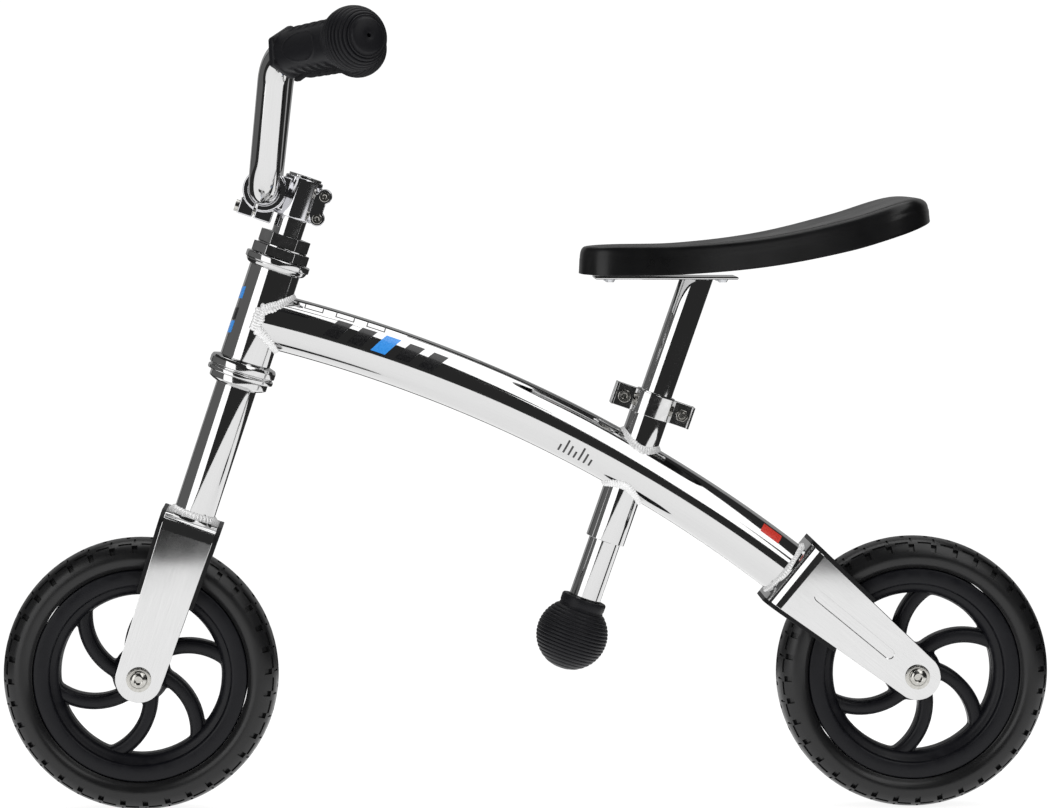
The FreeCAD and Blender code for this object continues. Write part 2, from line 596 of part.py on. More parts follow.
SEAT_BOTTOM = ((36.0, 400.0), (40.0, 392.4), (60.0, 391.6), (110.0, 392.9), (170.0, 399.3),
               (226.0, 411.0), (262.0, 422.6), (284.0, 431.0), (289.5, 436.0))
SEAT_TOP = ((290.0, 440.5), (285.0, 445.8), (274.0, 448.0), (262.0, 445.6), (226.0, 434.2),
            (170.0, 421.0), (110.0, 414.0), (60.0, 412.8), (40.0, 411.4), (36.0, 408.0))


def seat_outline(inset):
    """The seat seen from above: a rounded nose that widens to a broad tail."""
    front, back = size("seat_front_x") + inset, size("seat_back_x") - inset
    nose, rear = size("seat_nose_half") - inset, size("seat_rear_half") - inset
    stations = ((front, 0.0), (front + 4, 0.55 * nose), (front + 16, 0.92 * nose), (front + 44, 1.08 * nose),
                (front + 95, 0.35 * nose + 0.45 * rear), (back - 72, 0.95 * rear), (back - 42, rear),
                (back - 16, 0.88 * rear), (back - 3, 0.52 * rear), (back, 0.0))
    near = [Vector(x, -y, 0) for x, y in stations]
    far = [Vector(x, y, 0) for x, y in reversed(stations[1:-1])]
    curve = Part.BSplineCurve()
    curve.interpolate(near + far, PeriodicFlag=True)
    face = Part.Face(Part.Wire([curve.toShape()]))
    return face.extrude(Vector(0, 0, 600))


def seat_profile(top_drop, bottom_drop):
    """The seat seen from the side, as a block whose top and bottom can be lowered."""
    lower = Part.BSplineCurve()
    lower.interpolate([Vector(x, -100, z - bottom_drop) for x, z in SEAT_BOTTOM])
    upper = Part.BSplineCurve()
    upper.interpolate([Vector(x, -100, z - top_drop) for x, z in SEAT_TOP])
    ends = [lower.toShape(), upper.toShape()]
    join = [Part.makeLine(lower.EndPoint, upper.StartPoint), Part.makeLine(upper.EndPoint, lower.StartPoint)]
    wire = Part.Wire([ends[0], join[0], ends[1], join[1]])
    return Part.Face(wire).extrude(Vector(0, 200, 0))


def seat():
    level = size("seat_plate_level")
    plate_top = level + size("seat_plate_thickness")
    shell = seat_outline(0.0).common(seat_profile(0.0, 0.0))
    hollow = seat_outline(size("seat_wall")).common(seat_profile(5.0, 30.0))
    shell = shell.cut(hollow)
    boss_long, boss_wide = size("seat_boss_length"), size("seat_boss_width")
    boss = Part.makeBox(boss_long, boss_wide, 40, Vector(50, -boss_wide / 2, plate_top))
    boss = boss.common(seat_profile(0.0, 30.0))
    shell = shell.fuse(boss).removeSplitter()
    keep("seat_shell", feature("seat_shell", shell))
    plate_place = Placement(Vector(size("seat_plate_centre"), 0, level), Rotation())
    keep("seat_plate", box("seat_plate", plate_place, dim("seat_plate_length"), dim("seat_plate_width"),
                           dim("seat_plate_thickness")))
    screws = []
    for index, (x, y) in enumerate(((58, -11), (58, 11), (140, -11), (140, 11))):
        place = Placement(Vector(x, y, level), Rotation())
        screws.append(cone(f"seat_screw_{index}", shift(place, along=-2.2), 2.8, 4.2, 2.2))
    keep("seat_screws", group("seat_screws", *screws))


def stem():
    """A forged stem: a split steerer clamp with two screws and a split bar clamp with one."""
    low, high = size("stem_bottom"), size("stem_top")
    screw_places = ((372.2, 17.6), (355.4, 17.4))
    reach, level = size("stem_reach"), size("bar_clamp_height")
    clamp = Part.makeCylinder(size("stem_clamp_diameter") / 2, high - low, Vector(0, 0, low))
    clamp.rotate(Vector(), Vector(0, 0, 1), 180)
    bar_half = size("bar_clamp_width") / 2
    side_axis = Vector(0, 1, 0)
    holder = Part.makeCylinder(size("bar_clamp_diameter") / 2, 2 * bar_half, Vector(-reach, -bar_half, level),
                               side_axis)
    holder.rotate(Vector(-reach, 0, level), side_axis, 180)
    bridge = Part.makeBox(reach, 22, high - low - 6, Vector(-reach, -11, low + 3))
    lug_reach, screw_level = size("bar_lug_reach"), size("bar_screw_height")
    lug = Part.makeBox(25, 20, 12, Vector(-lug_reach, -10, screw_level - 4.8))
    ear_wide, ear_round = size("stem_ear_width"), size("stem_ear_radius")
    ears = Part.makeBox(12, ear_wide, 16.8, Vector(8, -ear_wide / 2, screw_places[1][0]))
    for height, across in screw_places:
        screw_start = Vector(across, -ear_wide / 2, height)
        ears = ears.fuse(Part.makeCylinder(ear_round, ear_wide, screw_start, side_axis))
    body = clamp.fuse([holder, bridge, lug, ears])
    body = body.cut(Part.makeCylinder(size("quill_diameter") / 2, 60, Vector(0, 0, low - 10)))
    bar_hole = size("bar_diameter") / 2 + 0.05
    body = body.cut(Part.makeCylinder(bar_hole, 60, Vector(-reach, -30, level), side_axis))
    slot, hole = size("stem_slot"), size("screw_clearance") / 2
    body = body.cut(Part.makeBox(30, slot, 60, Vector(5, -slot / 2, low - 10)))
    body = body.cut(Part.makeBox(slot, 40, 14, Vector(-28, -20, 339)))
    for height, across in screw_places:
        body = body.cut(Part.makeCylinder(hole, 30, Vector(across, -15, height), side_axis))
    body = body.cut(Part.makeCylinder(hole, 27, Vector(-lug_reach - 1, 0, screw_level), Vector(1, 0, 0)))
    keep("stem_body", feature("stem_body", body.removeSplitter(), fork_frame))
    screws = []
    head_seat = -ear_wide / 2
    for index, (height, across) in enumerate(screw_places):
        place = shift(fork_frame, across, 0, height).multiply(to_side)
        head_place = shift(place, along=head_seat - size("stem_screw_head_height"))
        shank = cylinder(f"stem_screw_{index}_shank", shift(place, along=head_seat), half("screw_diameter"),
                         16.5)
        head = cylinder(f"stem_screw_{index}_head", head_place, half("stem_screw_head"),
                        dim("stem_screw_head_height"))
        key = hexagon(f"stem_screw_{index}_key", head_place, dim("stem_socket"), 2.0)
        screws.append(cut(f"stem_screw_{index}", fuse(f"stem_screw_{index}_whole", shank, head), key))
    keep("stem_clamp_bolts", group("stem_clamp_bolts", *screws))
    place = shift(fork_frame, -lug_reach, 0, screw_level).multiply(to_back)
    shank = cylinder("bar_screw_shank", place, half("screw_diameter"), 22)
    head = cylinder("bar_screw_head", shift(place, along=-3.0), half("bar_screw_head"), 3.0)
    key = hexagon("bar_screw_key", shift(place, along=-3.0), dim("bar_socket"), 2.0)
    keep("bar_clamp_bolt", cut("bar_clamp_bolt", fuse("bar_screw_whole", shank, head), key))
    cap_place = shift(fork_frame, along=high)
    cap = cylinder("stem_cap_disc", cap_place, dim("stem_cap_radius"), dim("stem_cap_thickness"))
    hole = cylinder("stem_cap_hole", cap_place, 4.5, dim("stem_cap_thickness"))
    keep("stem_cap", cut("stem_cap", cap, hole))


def quill():
    """The stem's post inside the fork, with the wedge and the long bolt that lock it."""
    low = size("quill_bottom")
    outside = cylinder("quill_outside", shift(fork_frame, along=low), half("quill_diameter"),
                       size("stem_top") - 4.0 - low)
    bore = cylinder("quill_bore", shift(fork_frame, along=low), 8.0, 150)
    slope = Placement(Vector(0, 0, low + 11.0), Rotation(Vector(0, 1, 0), 30))
    slope = fork_frame.multiply(slope)
    below = box("quill_slope", shift(slope, along=-40), 80, 40, 40)
    keep("quill_post", cut("quill_post", cut("quill_pipe", outside, bore), below))
    wedge = cylinder("wedge_block", shift(fork_frame, along=low - 22.0), half("quill_diameter"), 44)
    above = box("wedge_slope", shift(slope, along=-0.4), 80, 40, 60)
    hole = cylinder("wedge_thread", shift(fork_frame, along=low - 22.0), 4.0, 60)
    keep("quill_wedge", cut("quill_wedge", wedge, fuse("wedge_cuts", above, hole)))
    shank = cylinder("quill_bolt_shank", shift(fork_frame, along=low - 20.0), 4.0, 152)
    head = cylinder("quill_bolt_head", shift(fork_frame, along=low + 132.0), 6.5, 7.0)
    key = hexagon("quill_bolt_key", shift(fork_frame, along=low + 135.0), (6.0, "6.0"), 4.0)
    keep("quill_bolt", cut("quill_bolt", fuse("quill_bolt_whole", shank, head), key))


def bar_points():
    """The bends of the handlebar from its middle to one end, on the near side."""
    clamp = fork_frame.multVec(Vector(-size("stem_reach"), 0, size("bar_clamp_height")))
    foot = Vector(clamp.x, -39.5, clamp.z)
    shoulder = Vector(clamp.x + 10.0, -69, clamp.z + 95.2)
    outward = Vector(47.5, -78, 8.5).normalize()
    return clamp, foot, shoulder, outward


def bent_rod(points, bend, radius):
    """A round rod along straight runs joined by tangent arcs."""
    edges = []
    start = points[0]
    for before, corner, after in zip(points, points[1:], points[2:]):
        back = (before - corner).normalize()
        on = (after - corner).normalize()
        turn = math.pi - back.getAngle(on)
        reach = bend * math.tan(turn / 2)
        first, last = corner + back * reach, corner + on * reach
        bisector = (back + on).normalize()
        centre = corner + bisector * (bend / math.cos(turn / 2))
        middle = centre - bisector * bend
        edges.append(Part.LineSegment(start, first).toShape())
        edges.append(Part.Arc(first, middle, last).toShape())
        start = last
    edges.append(Part.LineSegment(start, points[-1]).toShape())
    path = Part.Wire(edges)
    circle = Part.makeCircle(radius, points[0], points[1] - points[0])
    return path.makePipeShell([Part.Wire([circle])], True, False)


def handlebar():
    clamp, foot, shoulder, outward = bar_points()
    end = shoulder + outward * 106.0
    near = [end, shoulder, foot]
    far = [Vector(point.x, -point.y, point.z) for point in reversed(near)]
    points = near + far
    tube = bent_rod(points, 28.0, size("bar_diameter") / 2)
    bore = bent_rod(points, 28.0, size("bar_bore") / 2)
    keep("handlebar_tube", feature("handlebar_tube", tube.cut(bore)))


def grips():
    """Rubber grips with a six-sided flange inboard and a ball at the end."""
    clamp, foot, shoulder, outward = bar_points()
    for node, side in (("left_grip", 1), ("right_grip", -1)):
        start = shoulder + outward * 18.5
        direction = Vector(outward.x, outward.y * side, outward.z)
        place = Placement(Vector(start.x, start.y * side, start.z), Rotation(Vector(0, 0, 1), direction))
        flange = solid("Prism", node + "_flange", place, Circumradius=half("grip_flange_diameter"),
                       Height=6.0)
        flange.Polygon = 6
        body = cylinder(node + "_body", place, half("grip_diameter"), dim("grip_length"))
        ball = solid("Sphere", node + "_ball", shift(place, along=size("grip_length") + 11.0),
                     Radius=dim("grip_ball_radius"))
        room = cylinder(node + "_room", place, half("bar_diameter"), 88.0)
        keep(node, cut(node, fuse(node + "_whole", flange, body, ball), room))


main_tube()
head_tube()
seat_tube()
welds()
bracket("rear_bracket", rear_frame, size("rear_crown_half"), True)
bracket("fork_bracket", fork_frame, size("fork_crown_half"), False)
finger_guard("rear_finger_guard", rear_frame, size("rear_crown_half"))
finger_guard("fork_finger_guard", fork_frame, size("fork_crown_half"))
headset()
fork_tube()
for end, frame_place, x_centre, turn in (("front", fork_frame, -half_base, 0.0),
                                         ("rear", rear_frame, half_base, 10.0)):
    axle_parts(end, frame_place)
    wheel(end, x_centre, turn)
seat_clamp()
seat_post()
post_bumper()
seat()
stem()
quill()
handlebar()
grips()

doc.recompute()
for item in doc.Objects:
    if "Invalid" in item.State or "Error" in item.State:
        raise RuntimeError(f"{item.Name} did not rebuild: {item.State}")
os.makedirs("parts", exist_ok=True)
for node, item in nodes.items():
    shape = item.Shape
    if shape.isNull() or not shape.isValid():
        raise RuntimeError(f"{node} has no valid shape")
    shape.exportStep(f"parts/{node}.step")
    print(f"{node}: {len(shape.Solids)} solid(s), {shape.Volume / 1000:.2f} cm3")
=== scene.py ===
from math import acos, atan2, cos, degrees, hypot, pi, radians, sin, sqrt, tan

import bmesh
import bpy
from mathutils import Matrix, Vector


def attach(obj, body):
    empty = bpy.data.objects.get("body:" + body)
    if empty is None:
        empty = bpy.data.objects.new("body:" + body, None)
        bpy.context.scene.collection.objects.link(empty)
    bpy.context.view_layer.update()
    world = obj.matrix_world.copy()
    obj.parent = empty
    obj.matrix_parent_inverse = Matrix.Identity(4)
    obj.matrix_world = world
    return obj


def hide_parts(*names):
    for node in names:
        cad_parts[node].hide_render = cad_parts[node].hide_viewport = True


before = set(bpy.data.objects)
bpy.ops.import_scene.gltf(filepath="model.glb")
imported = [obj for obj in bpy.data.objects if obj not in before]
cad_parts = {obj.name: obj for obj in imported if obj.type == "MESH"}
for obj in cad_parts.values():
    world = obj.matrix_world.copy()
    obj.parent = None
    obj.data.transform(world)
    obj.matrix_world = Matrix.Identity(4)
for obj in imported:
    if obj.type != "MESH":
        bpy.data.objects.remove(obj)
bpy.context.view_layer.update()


# --------------------------------------
# Main tube. One 40 mm aluminium tube, bent to an even arc of about a metre, coped round the head
# tube in front and cut square against the rear bracket. It is buffed bright and lacquered, so
# fine drawing lines run along it under the shine.
FORK = Matrix.Translation((-282.5, 0, 100)) @ Matrix.Rotation(radians(18.4), 4, "Y")
REAR = Matrix.Translation((282.5, 0, 100)) @ Matrix.Rotation(radians(-50.7), 4, "Y")
POST = Matrix.Translation((103.9, 0, 336.3)) @ Matrix.Rotation(radians(19.0), 4, "Y")
ARC_CENTRE = Vector((-435.3, 0, -633.6))
ARC_RADIUS = 1022.0
TUBE_RADIUS = 20.2
CROWN = 122.0


def pattern(finish, scale, stretch=(1, 1, 1), from_object=False, **settings):
    """A noise drawn over a piece, its scale in cycles per millimetre of the piece's own drawing."""
    nodes, links = finish.node_tree.nodes, finish.node_tree.links
    if from_object:
        place = nodes.new("ShaderNodeTexCoord").outputs["Object"]
        stretch = [1000 * size for size in stretch]
    else:
        drawn = nodes.new("ShaderNodeAttribute")
        drawn.attribute_name = "drawn"
        place = drawn.outputs["Vector"]
    mapping = nodes.new("ShaderNodeMapping")
    mapping.inputs["Scale"].default_value = stretch
    links.new(place, mapping.inputs["Vector"])
    texture = nodes.new("ShaderNodeTexNoise")
    links.new(mapping.outputs["Vector"], texture.inputs["Vector"])
    texture.inputs["Scale"].default_value = scale
    for socket, value in settings.items():
        texture.inputs[socket].default_value = value
    return texture.outputs[0]


def levels(finish, value, low, high):
    """The pattern's middle values spread from low to high."""
    spread = finish.node_tree.nodes.new("ShaderNodeMapRange")
    finish.node_tree.links.new(value, spread.inputs["Value"])
    for socket, number in (("From Min", 0.3), ("From Max", 0.7), ("To Min", low), ("To Max", high)):
        spread.inputs[socket].default_value = number
    return spread.outputs["Result"]


def shader_of(finish):
    return finish.node_tree.nodes["Principled BSDF"]


def vary_gloss(finish, value, low, high):
    finish.node_tree.links.new(levels(finish, value, low, high), shader_of(finish).inputs["Roughness"])


def vary_colour(finish, value, first, second):
    blend = finish.node_tree.nodes.new("ShaderNodeMix")
    blend.data_type = "RGBA"
    finish.node_tree.links.new(levels(finish, value, 0, 1), blend.inputs["Factor"])
    blend.inputs["A"].default_value = (*first, 1)
    blend.inputs["B"].default_value = (*second, 1)
    finish.node_tree.links.new(blend.outputs["Result"], shader_of(finish).inputs["Base Color"])


def relief(finish, value, height, strength):
    """Raises the surface by the pattern, up to so many millimetres, over any relief already there."""
    nodes, links = finish.node_tree.nodes, finish.node_tree.links
    bump = nodes.new("ShaderNodeBump")
    bump.inputs["Distance"].default_value = height / 1000
    bump.inputs["Strength"].default_value = strength
    links.new(value, bump.inputs["Height"])
    before = shader_of(finish).inputs["Normal"]
    if before.is_linked:
        links.new(before.links[0].from_socket, bump.inputs["Normal"])
    links.new(bump.outputs["Normal"], before)


def new_finish(name, **sockets):
    finish = bpy.data.materials.new(name)
    finish.use_nodes = True
    for socket, value in sockets.items():
        shader_of(finish).inputs[socket.replace("_", " ")].default_value = value
    return finish


def mottled(name, scale, gloss, first, second, height, strength, from_object=False, detail=5.0,
            roughness=0.5, **sockets):
    """A finish whose gloss, colour and relief all follow one fine noise."""
    finish = new_finish(name, **sockets)
    mottle = pattern(finish, scale, from_object=from_object, Detail=detail, Roughness=roughness)
    vary_gloss(finish, mottle, *gloss)
    vary_colour(finish, mottle, first, second)
    relief(finish, mottle, height, strength)
    return finish


def verts_of(parts):
    return [part for part in parts if isinstance(part, bmesh.types.BMVert)]


def grow(bm, edges):
    """Extrudes a row of edges where they lie; gives the new corners and the new edges."""
    grown = bmesh.ops.extrude_edge_only(bm, edges=edges)["geom"]
    return verts_of(grown), [part for part in grown if isinstance(part, bmesh.types.BMEdge)]


def axes_at(point, x, y, z):
    """A place at a point, with its own three directions."""
    return Matrix.Translation(point) @ Matrix((x, y, z)).transposed().to_4x4()


def radial(angle):
    """A level direction, angle in degrees from X."""
    turn = radians(angle)
    return Vector((cos(turn), sin(turn), 0))


def piece(bm, name, body, finish, stands_for=(), place=None, crease=32):
    """A mesh drawn in millimetres becomes a finished piece that rides on its body."""
    drawn = bm.verts.layers.float_vector.get("drawn")
    if drawn is None:
        drawn = bm.verts.layers.float_vector.new("drawn")
        for vert in bm.verts:
            vert[drawn] = vert.co
    bmesh.ops.remove_doubles(bm, verts=bm.verts, dist=0.0008)
    bmesh.ops.recalc_face_normals(bm, faces=bm.faces)
    bmesh.ops.transform(bm, matrix=Matrix.Scale(0.001, 4) @ (place or Matrix()), verts=bm.verts)
    mesh = bpy.data.meshes.new(name)
    bm.to_mesh(mesh)
    bm.free()
    mesh.shade_smooth()
    mesh.set_sharp_from_angle(angle=radians(crease))
    mesh.materials.append(finish)
    made = bpy.data.objects.new(name, mesh)
    bpy.context.scene.collection.objects.link(made)
    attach(made, body)
    if stands_for:
        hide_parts(*stands_for)
    return made


def stations(path, up=(0, 1, 0)):
    """A place at each point of a path, with its Z along the path and its X as near to up as it can be."""
    places = []
    for index, point in enumerate(path):
        ahead = (path[min(index + 1, len(path) - 1)] - path[max(index - 1, 0)]).normalized()
        side = ahead.cross(Vector(up)).normalized()
        places.append(axes_at(point, side.cross(ahead), side, ahead))
    return places


def draw_tube(bm, path, radius, segments=64, up=(0, 1, 0), closed_ends=True):
    """A round rod along a path. Its drawing is kept straightened out, so grain runs along it."""
    drawn = bm.verts.layers.float_vector.get("drawn") or bm.verts.layers.float_vector.new("drawn")
    places = stations(path, up)
    ring = bmesh.ops.create_circle(bm, segments=segments, radius=radius)["verts"]
    rings, length = [], 0.0
    for index, place in enumerate(places):
        if index:
            ring, edges = grow(bm, edges)
            back = places[index - 1].inverted()
            for vert in ring:
                vert.co = back @ vert.co
            length += (path[index] - path[index - 1]).length
        else:
            edges = list({edge for vert in ring for edge in vert.link_edges})
        for vert in ring:
            vert[drawn] = (vert.co.x, vert.co.y, length)
            vert.co = place @ vert.co
        rings.append(ring)
    if closed_ends:
        for end in (rings[0], rings[-1]):
            bmesh.ops.contextual_create(bm, geom=end)
    return rings


def on_arc(angle, out=0.0):
    """A point on the main tube's arc, angle in degrees from straight up."""
    turn = radians(angle)
    return ARC_CENTRE + (ARC_RADIUS + out) * Vector((sin(turn), 0, cos(turn)))


def found_between(low, high, value):
    """Where value(t) changes sign between two numbers."""
    first = value(low) > 0
    for _ in range(40):
        middle = (low + high) / 2
        if (value(middle) > 0) == first:
            low = middle
        else:
            high = middle
    return low


def tube_surface(angle, turn, radius=TUBE_RADIUS):
    """A point on the main tube's skin: an angle along the arc and a turn round the tube, in degrees."""
    around = radians(turn)
    point = on_arc(angle, radius * cos(around))
    return point + Vector((0, radius * sin(around), 0))


def cope_angle(turn, reach=18.7, radius=TUBE_RADIUS):
    """How far along the arc the tube's skin meets the head tube, for a turn round the tube."""
    def clear(angle):
        local = FORK.inverted() @ tube_surface(angle, turn, radius)
        return hypot(local.x, local.y) - reach if local.x > 0 else -1
    return found_between(12.0, 20.0, clear)


def square_angle(turn, level=CROWN):
    """How far along the arc the tube's skin meets the rear bracket's crown."""
    return found_between(34.0, 41.0, lambda angle: (REAR.inverted() @ tube_surface(angle, turn)).z - level)


polished_tube = new_finish("polished_aluminium_tube", Metallic=1.0)
lines = pattern(polished_tube, 1.6, (1, 1, 0.012), Detail=4.0, Roughness=0.6)
clouds = pattern(polished_tube, 0.045, Detail=3.0)
hairs = pattern(polished_tube, 0.5, (1, 1, 0.15), Detail=8.0, Roughness=0.7)
vary_gloss(polished_tube, clouds, 0.035, 0.085)
vary_colour(polished_tube, lines, (0.6336, 0.6336, 0.6336), (0.66, 0.66, 0.66))
relief(polished_tube, lines, 0.004, 0.25)
relief(polished_tube, hairs, 0.010, 0.12)


def off_arc(point):
    """How far a point lies outside the main tube's arc, and to its side."""
    return (Vector((point.x, 0, point.z)) - ARC_CENTRE).length - ARC_RADIUS, point.y


def turn_about_arc(point):
    out, aside = off_arc(point)
    return degrees(atan2(aside, out))


COPE = 17.6
bm = bmesh.new()
arc_steps = [14.0 + 24.9 * index / 110 for index in range(111)]
rings = draw_tube(bm, [on_arc(angle) for angle in arc_steps], TUBE_RADIUS, segments=96, closed_ends=False)
for index, ring in enumerate(rings[:6]):
    for vert in ring:
        turn = turn_about_arc(vert.co)
        first = cope_angle(turn, COPE)
        share = (arc_steps[index] - arc_steps[0]) / (arc_steps[6] - arc_steps[0])
        vert.co = tube_surface(first + (arc_steps[6] - first) * share, turn)
for vert in rings[-1]:
    turn = turn_about_arc(vert.co)
    vert.co = tube_surface(square_angle(turn, CROWN - 0.5), turn)
brim = [edge for edge in bm.edges if edge.is_boundary and edge.verts[0] in set(rings[0])]
for share in (0.8, 0.6, 0.4, 0.2, 0.03):
    inner, brim = grow(bm, brim)
    for vert in inner:
        turn, radius = turn_about_arc(vert.co), TUBE_RADIUS * share
        vert.co = tube_surface(cope_angle(turn, COPE, radius), turn, radius)
for end in (inner, rings[-1]):
    bmesh.ops.contextual_create(bm, geom=end)
piece(bm, "main_tube_polished", "frame", polished_tube, ["main_tube"])


# --------------------------------------
# Head tube and seat tube. Straight lengths of the same polished tube, faced off in the lathe. The
# head tube carries the headset cups; the seat tube runs right through the main tube and is
# slotted behind, and its lower rim shows a turned wall.
def lathe(bm, outline, steps=96, closed=True):
    """An outline of (radius, height) points turned once round the Z axis."""
    points = [bm.verts.new((radius, 0, height)) for radius, height in outline]
    pairs = list(zip(points, points[1:])) + ([(points[-1], points[0])] if closed else [])
    edges = [bm.edges.new(pair) for pair in pairs]
    bmesh.ops.spin(bm, geom=points + edges, cent=(0, 0, 0), axis=(0, 0, 1), angle=2 * pi,
                   steps=steps, use_merge=True, use_duplicate=False)


def softened(outline, radius):
    """A closed outline with every corner rounded off, none by more than two fifths of its sides."""
    points = [Vector(point) for point in outline]
    result = []
    for index, corner in enumerate(points):
        before = points[index - 1] - corner
        after = points[(index + 1) % len(points)] - corner
        first = corner + before.normalized() * min(radius, 0.4 * before.length)
        last = corner + after.normalized() * min(radius, 0.4 * after.length)
        for share in (0.0, 0.35, 0.65, 1.0):
            result.append(first * (1 - share) ** 2 + corner * 2 * share * (1 - share) + last * share ** 2)
    return result


def turned(outline, edge, steps=96):
    """A turned part: a closed outline with softened corners, once round Z."""
    bm = bmesh.new()
    lathe(bm, softened(outline, edge), steps)
    return bm


def pipe(outside, inside, low, high, edge=0.6, steps=96):
    return turned([(inside, low), (outside, low), (outside, high), (inside, high)], edge, steps)


HEAD_TUBE_RADIUS = 18.7
SEAT_TUBE_RADIUS = 14.4
piece(pipe(HEAD_TUBE_RADIUS, 15.1, 241.0, 310.5), "head_tube_polished", "frame",
      polished_tube, ["head_tube"], FORK)
piece(pipe(SEAT_TUBE_RADIUS, 11.76, -147.2, -33.0), "seat_tube_polished", "frame",
      polished_tube, ["seat_tube"], POST)


# --------------------------------------
# Weld beads. Each joint is TIG welded by hand: a row of overlapping puddles, about 2 mm apart,
# left as cast but buffed over with the tubes, so the crests shine and the valleys stay dull.
weld_metal = mottled("weld_bead_aluminium", 0.9, (0.22, 0.42), (0.80, 0.80, 0.80), (0.96, 0.96, 0.96),
                     0.16, 0.6, roughness=0.6, Metallic=0.35, Specular_IOR_Level=0.6)

puddle = bmesh.new()
bmesh.ops.create_uvsphere(puddle, u_segments=16, v_segments=8, radius=1.0)
puddle_mesh = bpy.data.meshes.new("weld_puddle")
puddle.to_mesh(puddle_mesh)
puddle.free()


def draw_bead(bm, seam, pitch=2.0, width=9.0, height=2.2):
    """Puddles laid along a closed seam of (point, outward direction) pairs."""
    lengths = [0.0]
    for (point, _), (after, _) in zip(seam, seam[1:] + seam[:1]):
        lengths.append(lengths[-1] + (after - point).length)
    count = round(lengths[-1] / pitch)
    lean = Matrix.Rotation(radians(-32), 4, "Y")
    spot = 0
    for index in range(count):
        target = lengths[-1] * index / count
        while lengths[spot + 1] < target:
            spot += 1
        share = (target - lengths[spot]) / (lengths[spot + 1] - lengths[spot])
        (here, out_here), (after, out_after) = seam[spot], seam[(spot + 1) % len(seam)]
        ahead = (after - here).normalized()
        side = out_here.lerp(out_after, share).cross(ahead).normalized()
        out = ahead.cross(side)
        wander = 0.22 * sin(2.3 * index) + 0.12 * sin(5.1 * index)
        swell = 1 + 0.07 * sin(1.7 * index)
        place = (axes_at(here.lerp(after, share) + side * wander, ahead, side, out) @ lean
                 @ Matrix.Diagonal((pitch * 1.05, swell * width / 2, height, 1)))
        laid = puddle_mesh.copy()
        laid.transform(place)
        bm.from_mesh(laid)
        bpy.data.meshes.remove(laid)


def arc_normal(point):
    flat = Vector((point.x, 0, point.z)) - ARC_CENTRE
    centre = ARC_CENTRE + flat.normalized() * ARC_RADIUS
    return (point - centre).normalized()


bm = bmesh.new()
seam = []
for index in range(120):
    turn = 3.0 * index
    point = tube_surface(cope_angle(turn), turn)
    local = FORK.inverted() @ point
    off_head = (FORK.to_3x3() @ Vector((local.x, local.y, 0))).normalized()
    seam.append((point, (off_head + arc_normal(point)).normalized()))
draw_bead(bm, seam)
piece(bm, "head_tube_weld_bead", "frame", weld_metal, ["head_tube_weld"])

bm = bmesh.new()
for inside, outside in ((-89.0, -30.0), (-89.0, -150.0)):
    seam = []
    for index in range(90):
        out = radial(4 * index)

        def on_skin(level):
            return POST @ (out * SEAT_TUBE_RADIUS + Vector((0, 0, level)))

        point = on_skin(found_between(inside, outside,
                                      lambda level: hypot(*off_arc(on_skin(level))) - TUBE_RADIUS))
        seam.append((point, (POST.to_3x3() @ out + arc_normal(point)).normalized()))
    draw_bead(bm, seam, width=8.6, height=2.0)
piece(bm, "seat_tube_weld_beads", "frame", weld_metal, ["seat_tube_welds"])

bm = bmesh.new()
seam = []
for index in range(120):
    point = tube_surface(square_angle(3.0 * index), 3.0 * index)
    seam.append((point, (REAR.to_3x3() @ Vector((0, 0, 1)) + arc_normal(point)).normalized()))
draw_bead(bm, seam)
piece(bm, "rear_bracket_weld_bead", "frame", weld_metal, ["rear_bracket_weld"])

bm = bmesh.new()
seam = []
for index in range(90):
    out = radial(4 * index)
    seam.append((FORK @ (out * 15.4 + Vector((0, 0, CROWN + 0.6))),
                 (FORK.to_3x3() @ (out + Vector((0, 0, 1)))).normalized()))
draw_bead(bm, seam, pitch=2.7, width=9.4, height=2.6)
piece(bm, "fork_crown_weld_bead", "fork", weld_metal, ["fork_bracket_weld"])


# --------------------------------------
# Wheel brackets. Each is a strip of 3.5 mm aluminium plate, sheared to a taper with a round end,
# bent into a U over a former and buffed along its length. The rear one has a stiffening
# groove pressed into each leg.
def redrawn(node, place=Matrix(), edge=0.35, segments=2):
    """A CAD node's own shape, merged, in millimetres in its frame, with its edges broken."""
    bm = bmesh.new()
    bm.from_mesh(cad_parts[node].data)
    bmesh.ops.transform(bm, matrix=place.inverted() @ Matrix.Scale(1000, 4), verts=bm.verts)
    bmesh.ops.remove_doubles(bm, verts=bm.verts, dist=0.004)
    bmesh.ops.dissolve_limit(bm, angle_limit=radians(0.4), verts=bm.verts, edges=bm.edges)
    if edge:
        corners = [one for one in bm.edges
                   if len(one.link_faces) == 2 and one.calc_face_angle(0) > radians(28)]
        bmesh.ops.bevel(bm, geom=corners, offset=edge, offset_type="OFFSET", segments=segments,
                        profile=0.5, affect="EDGES", clamp_overlap=True, material=-1)
    return bm


def redrawn_piece(node, name, body, slot, finish, place=Matrix(), **edges):
    """A redrawn node as a piece; its wide faces stay flat beside the small rounded edges."""
    made = piece(redrawn(node, place, **edges), name, body, finish, [node], place, crease=24)
    weigh = made.modifiers.new("flat_faces", "WEIGHTED_NORMAL")
    weigh.weight, weigh.keep_sharp = 100, True


satin_plate = new_finish("buffed_plate_aluminium", Metallic=1.0)
brush = pattern(satin_plate, 2.2, (1, 1, 0.02), Detail=5.0, Roughness=0.65)
bloom = pattern(satin_plate, 0.03, Detail=3.0)
vary_gloss(satin_plate, bloom, 0.05, 0.08)
vary_colour(satin_plate, brush, (0.63, 0.63, 0.63), (0.70, 0.70, 0.70))
relief(satin_plate, brush, 0.004, 0.25)

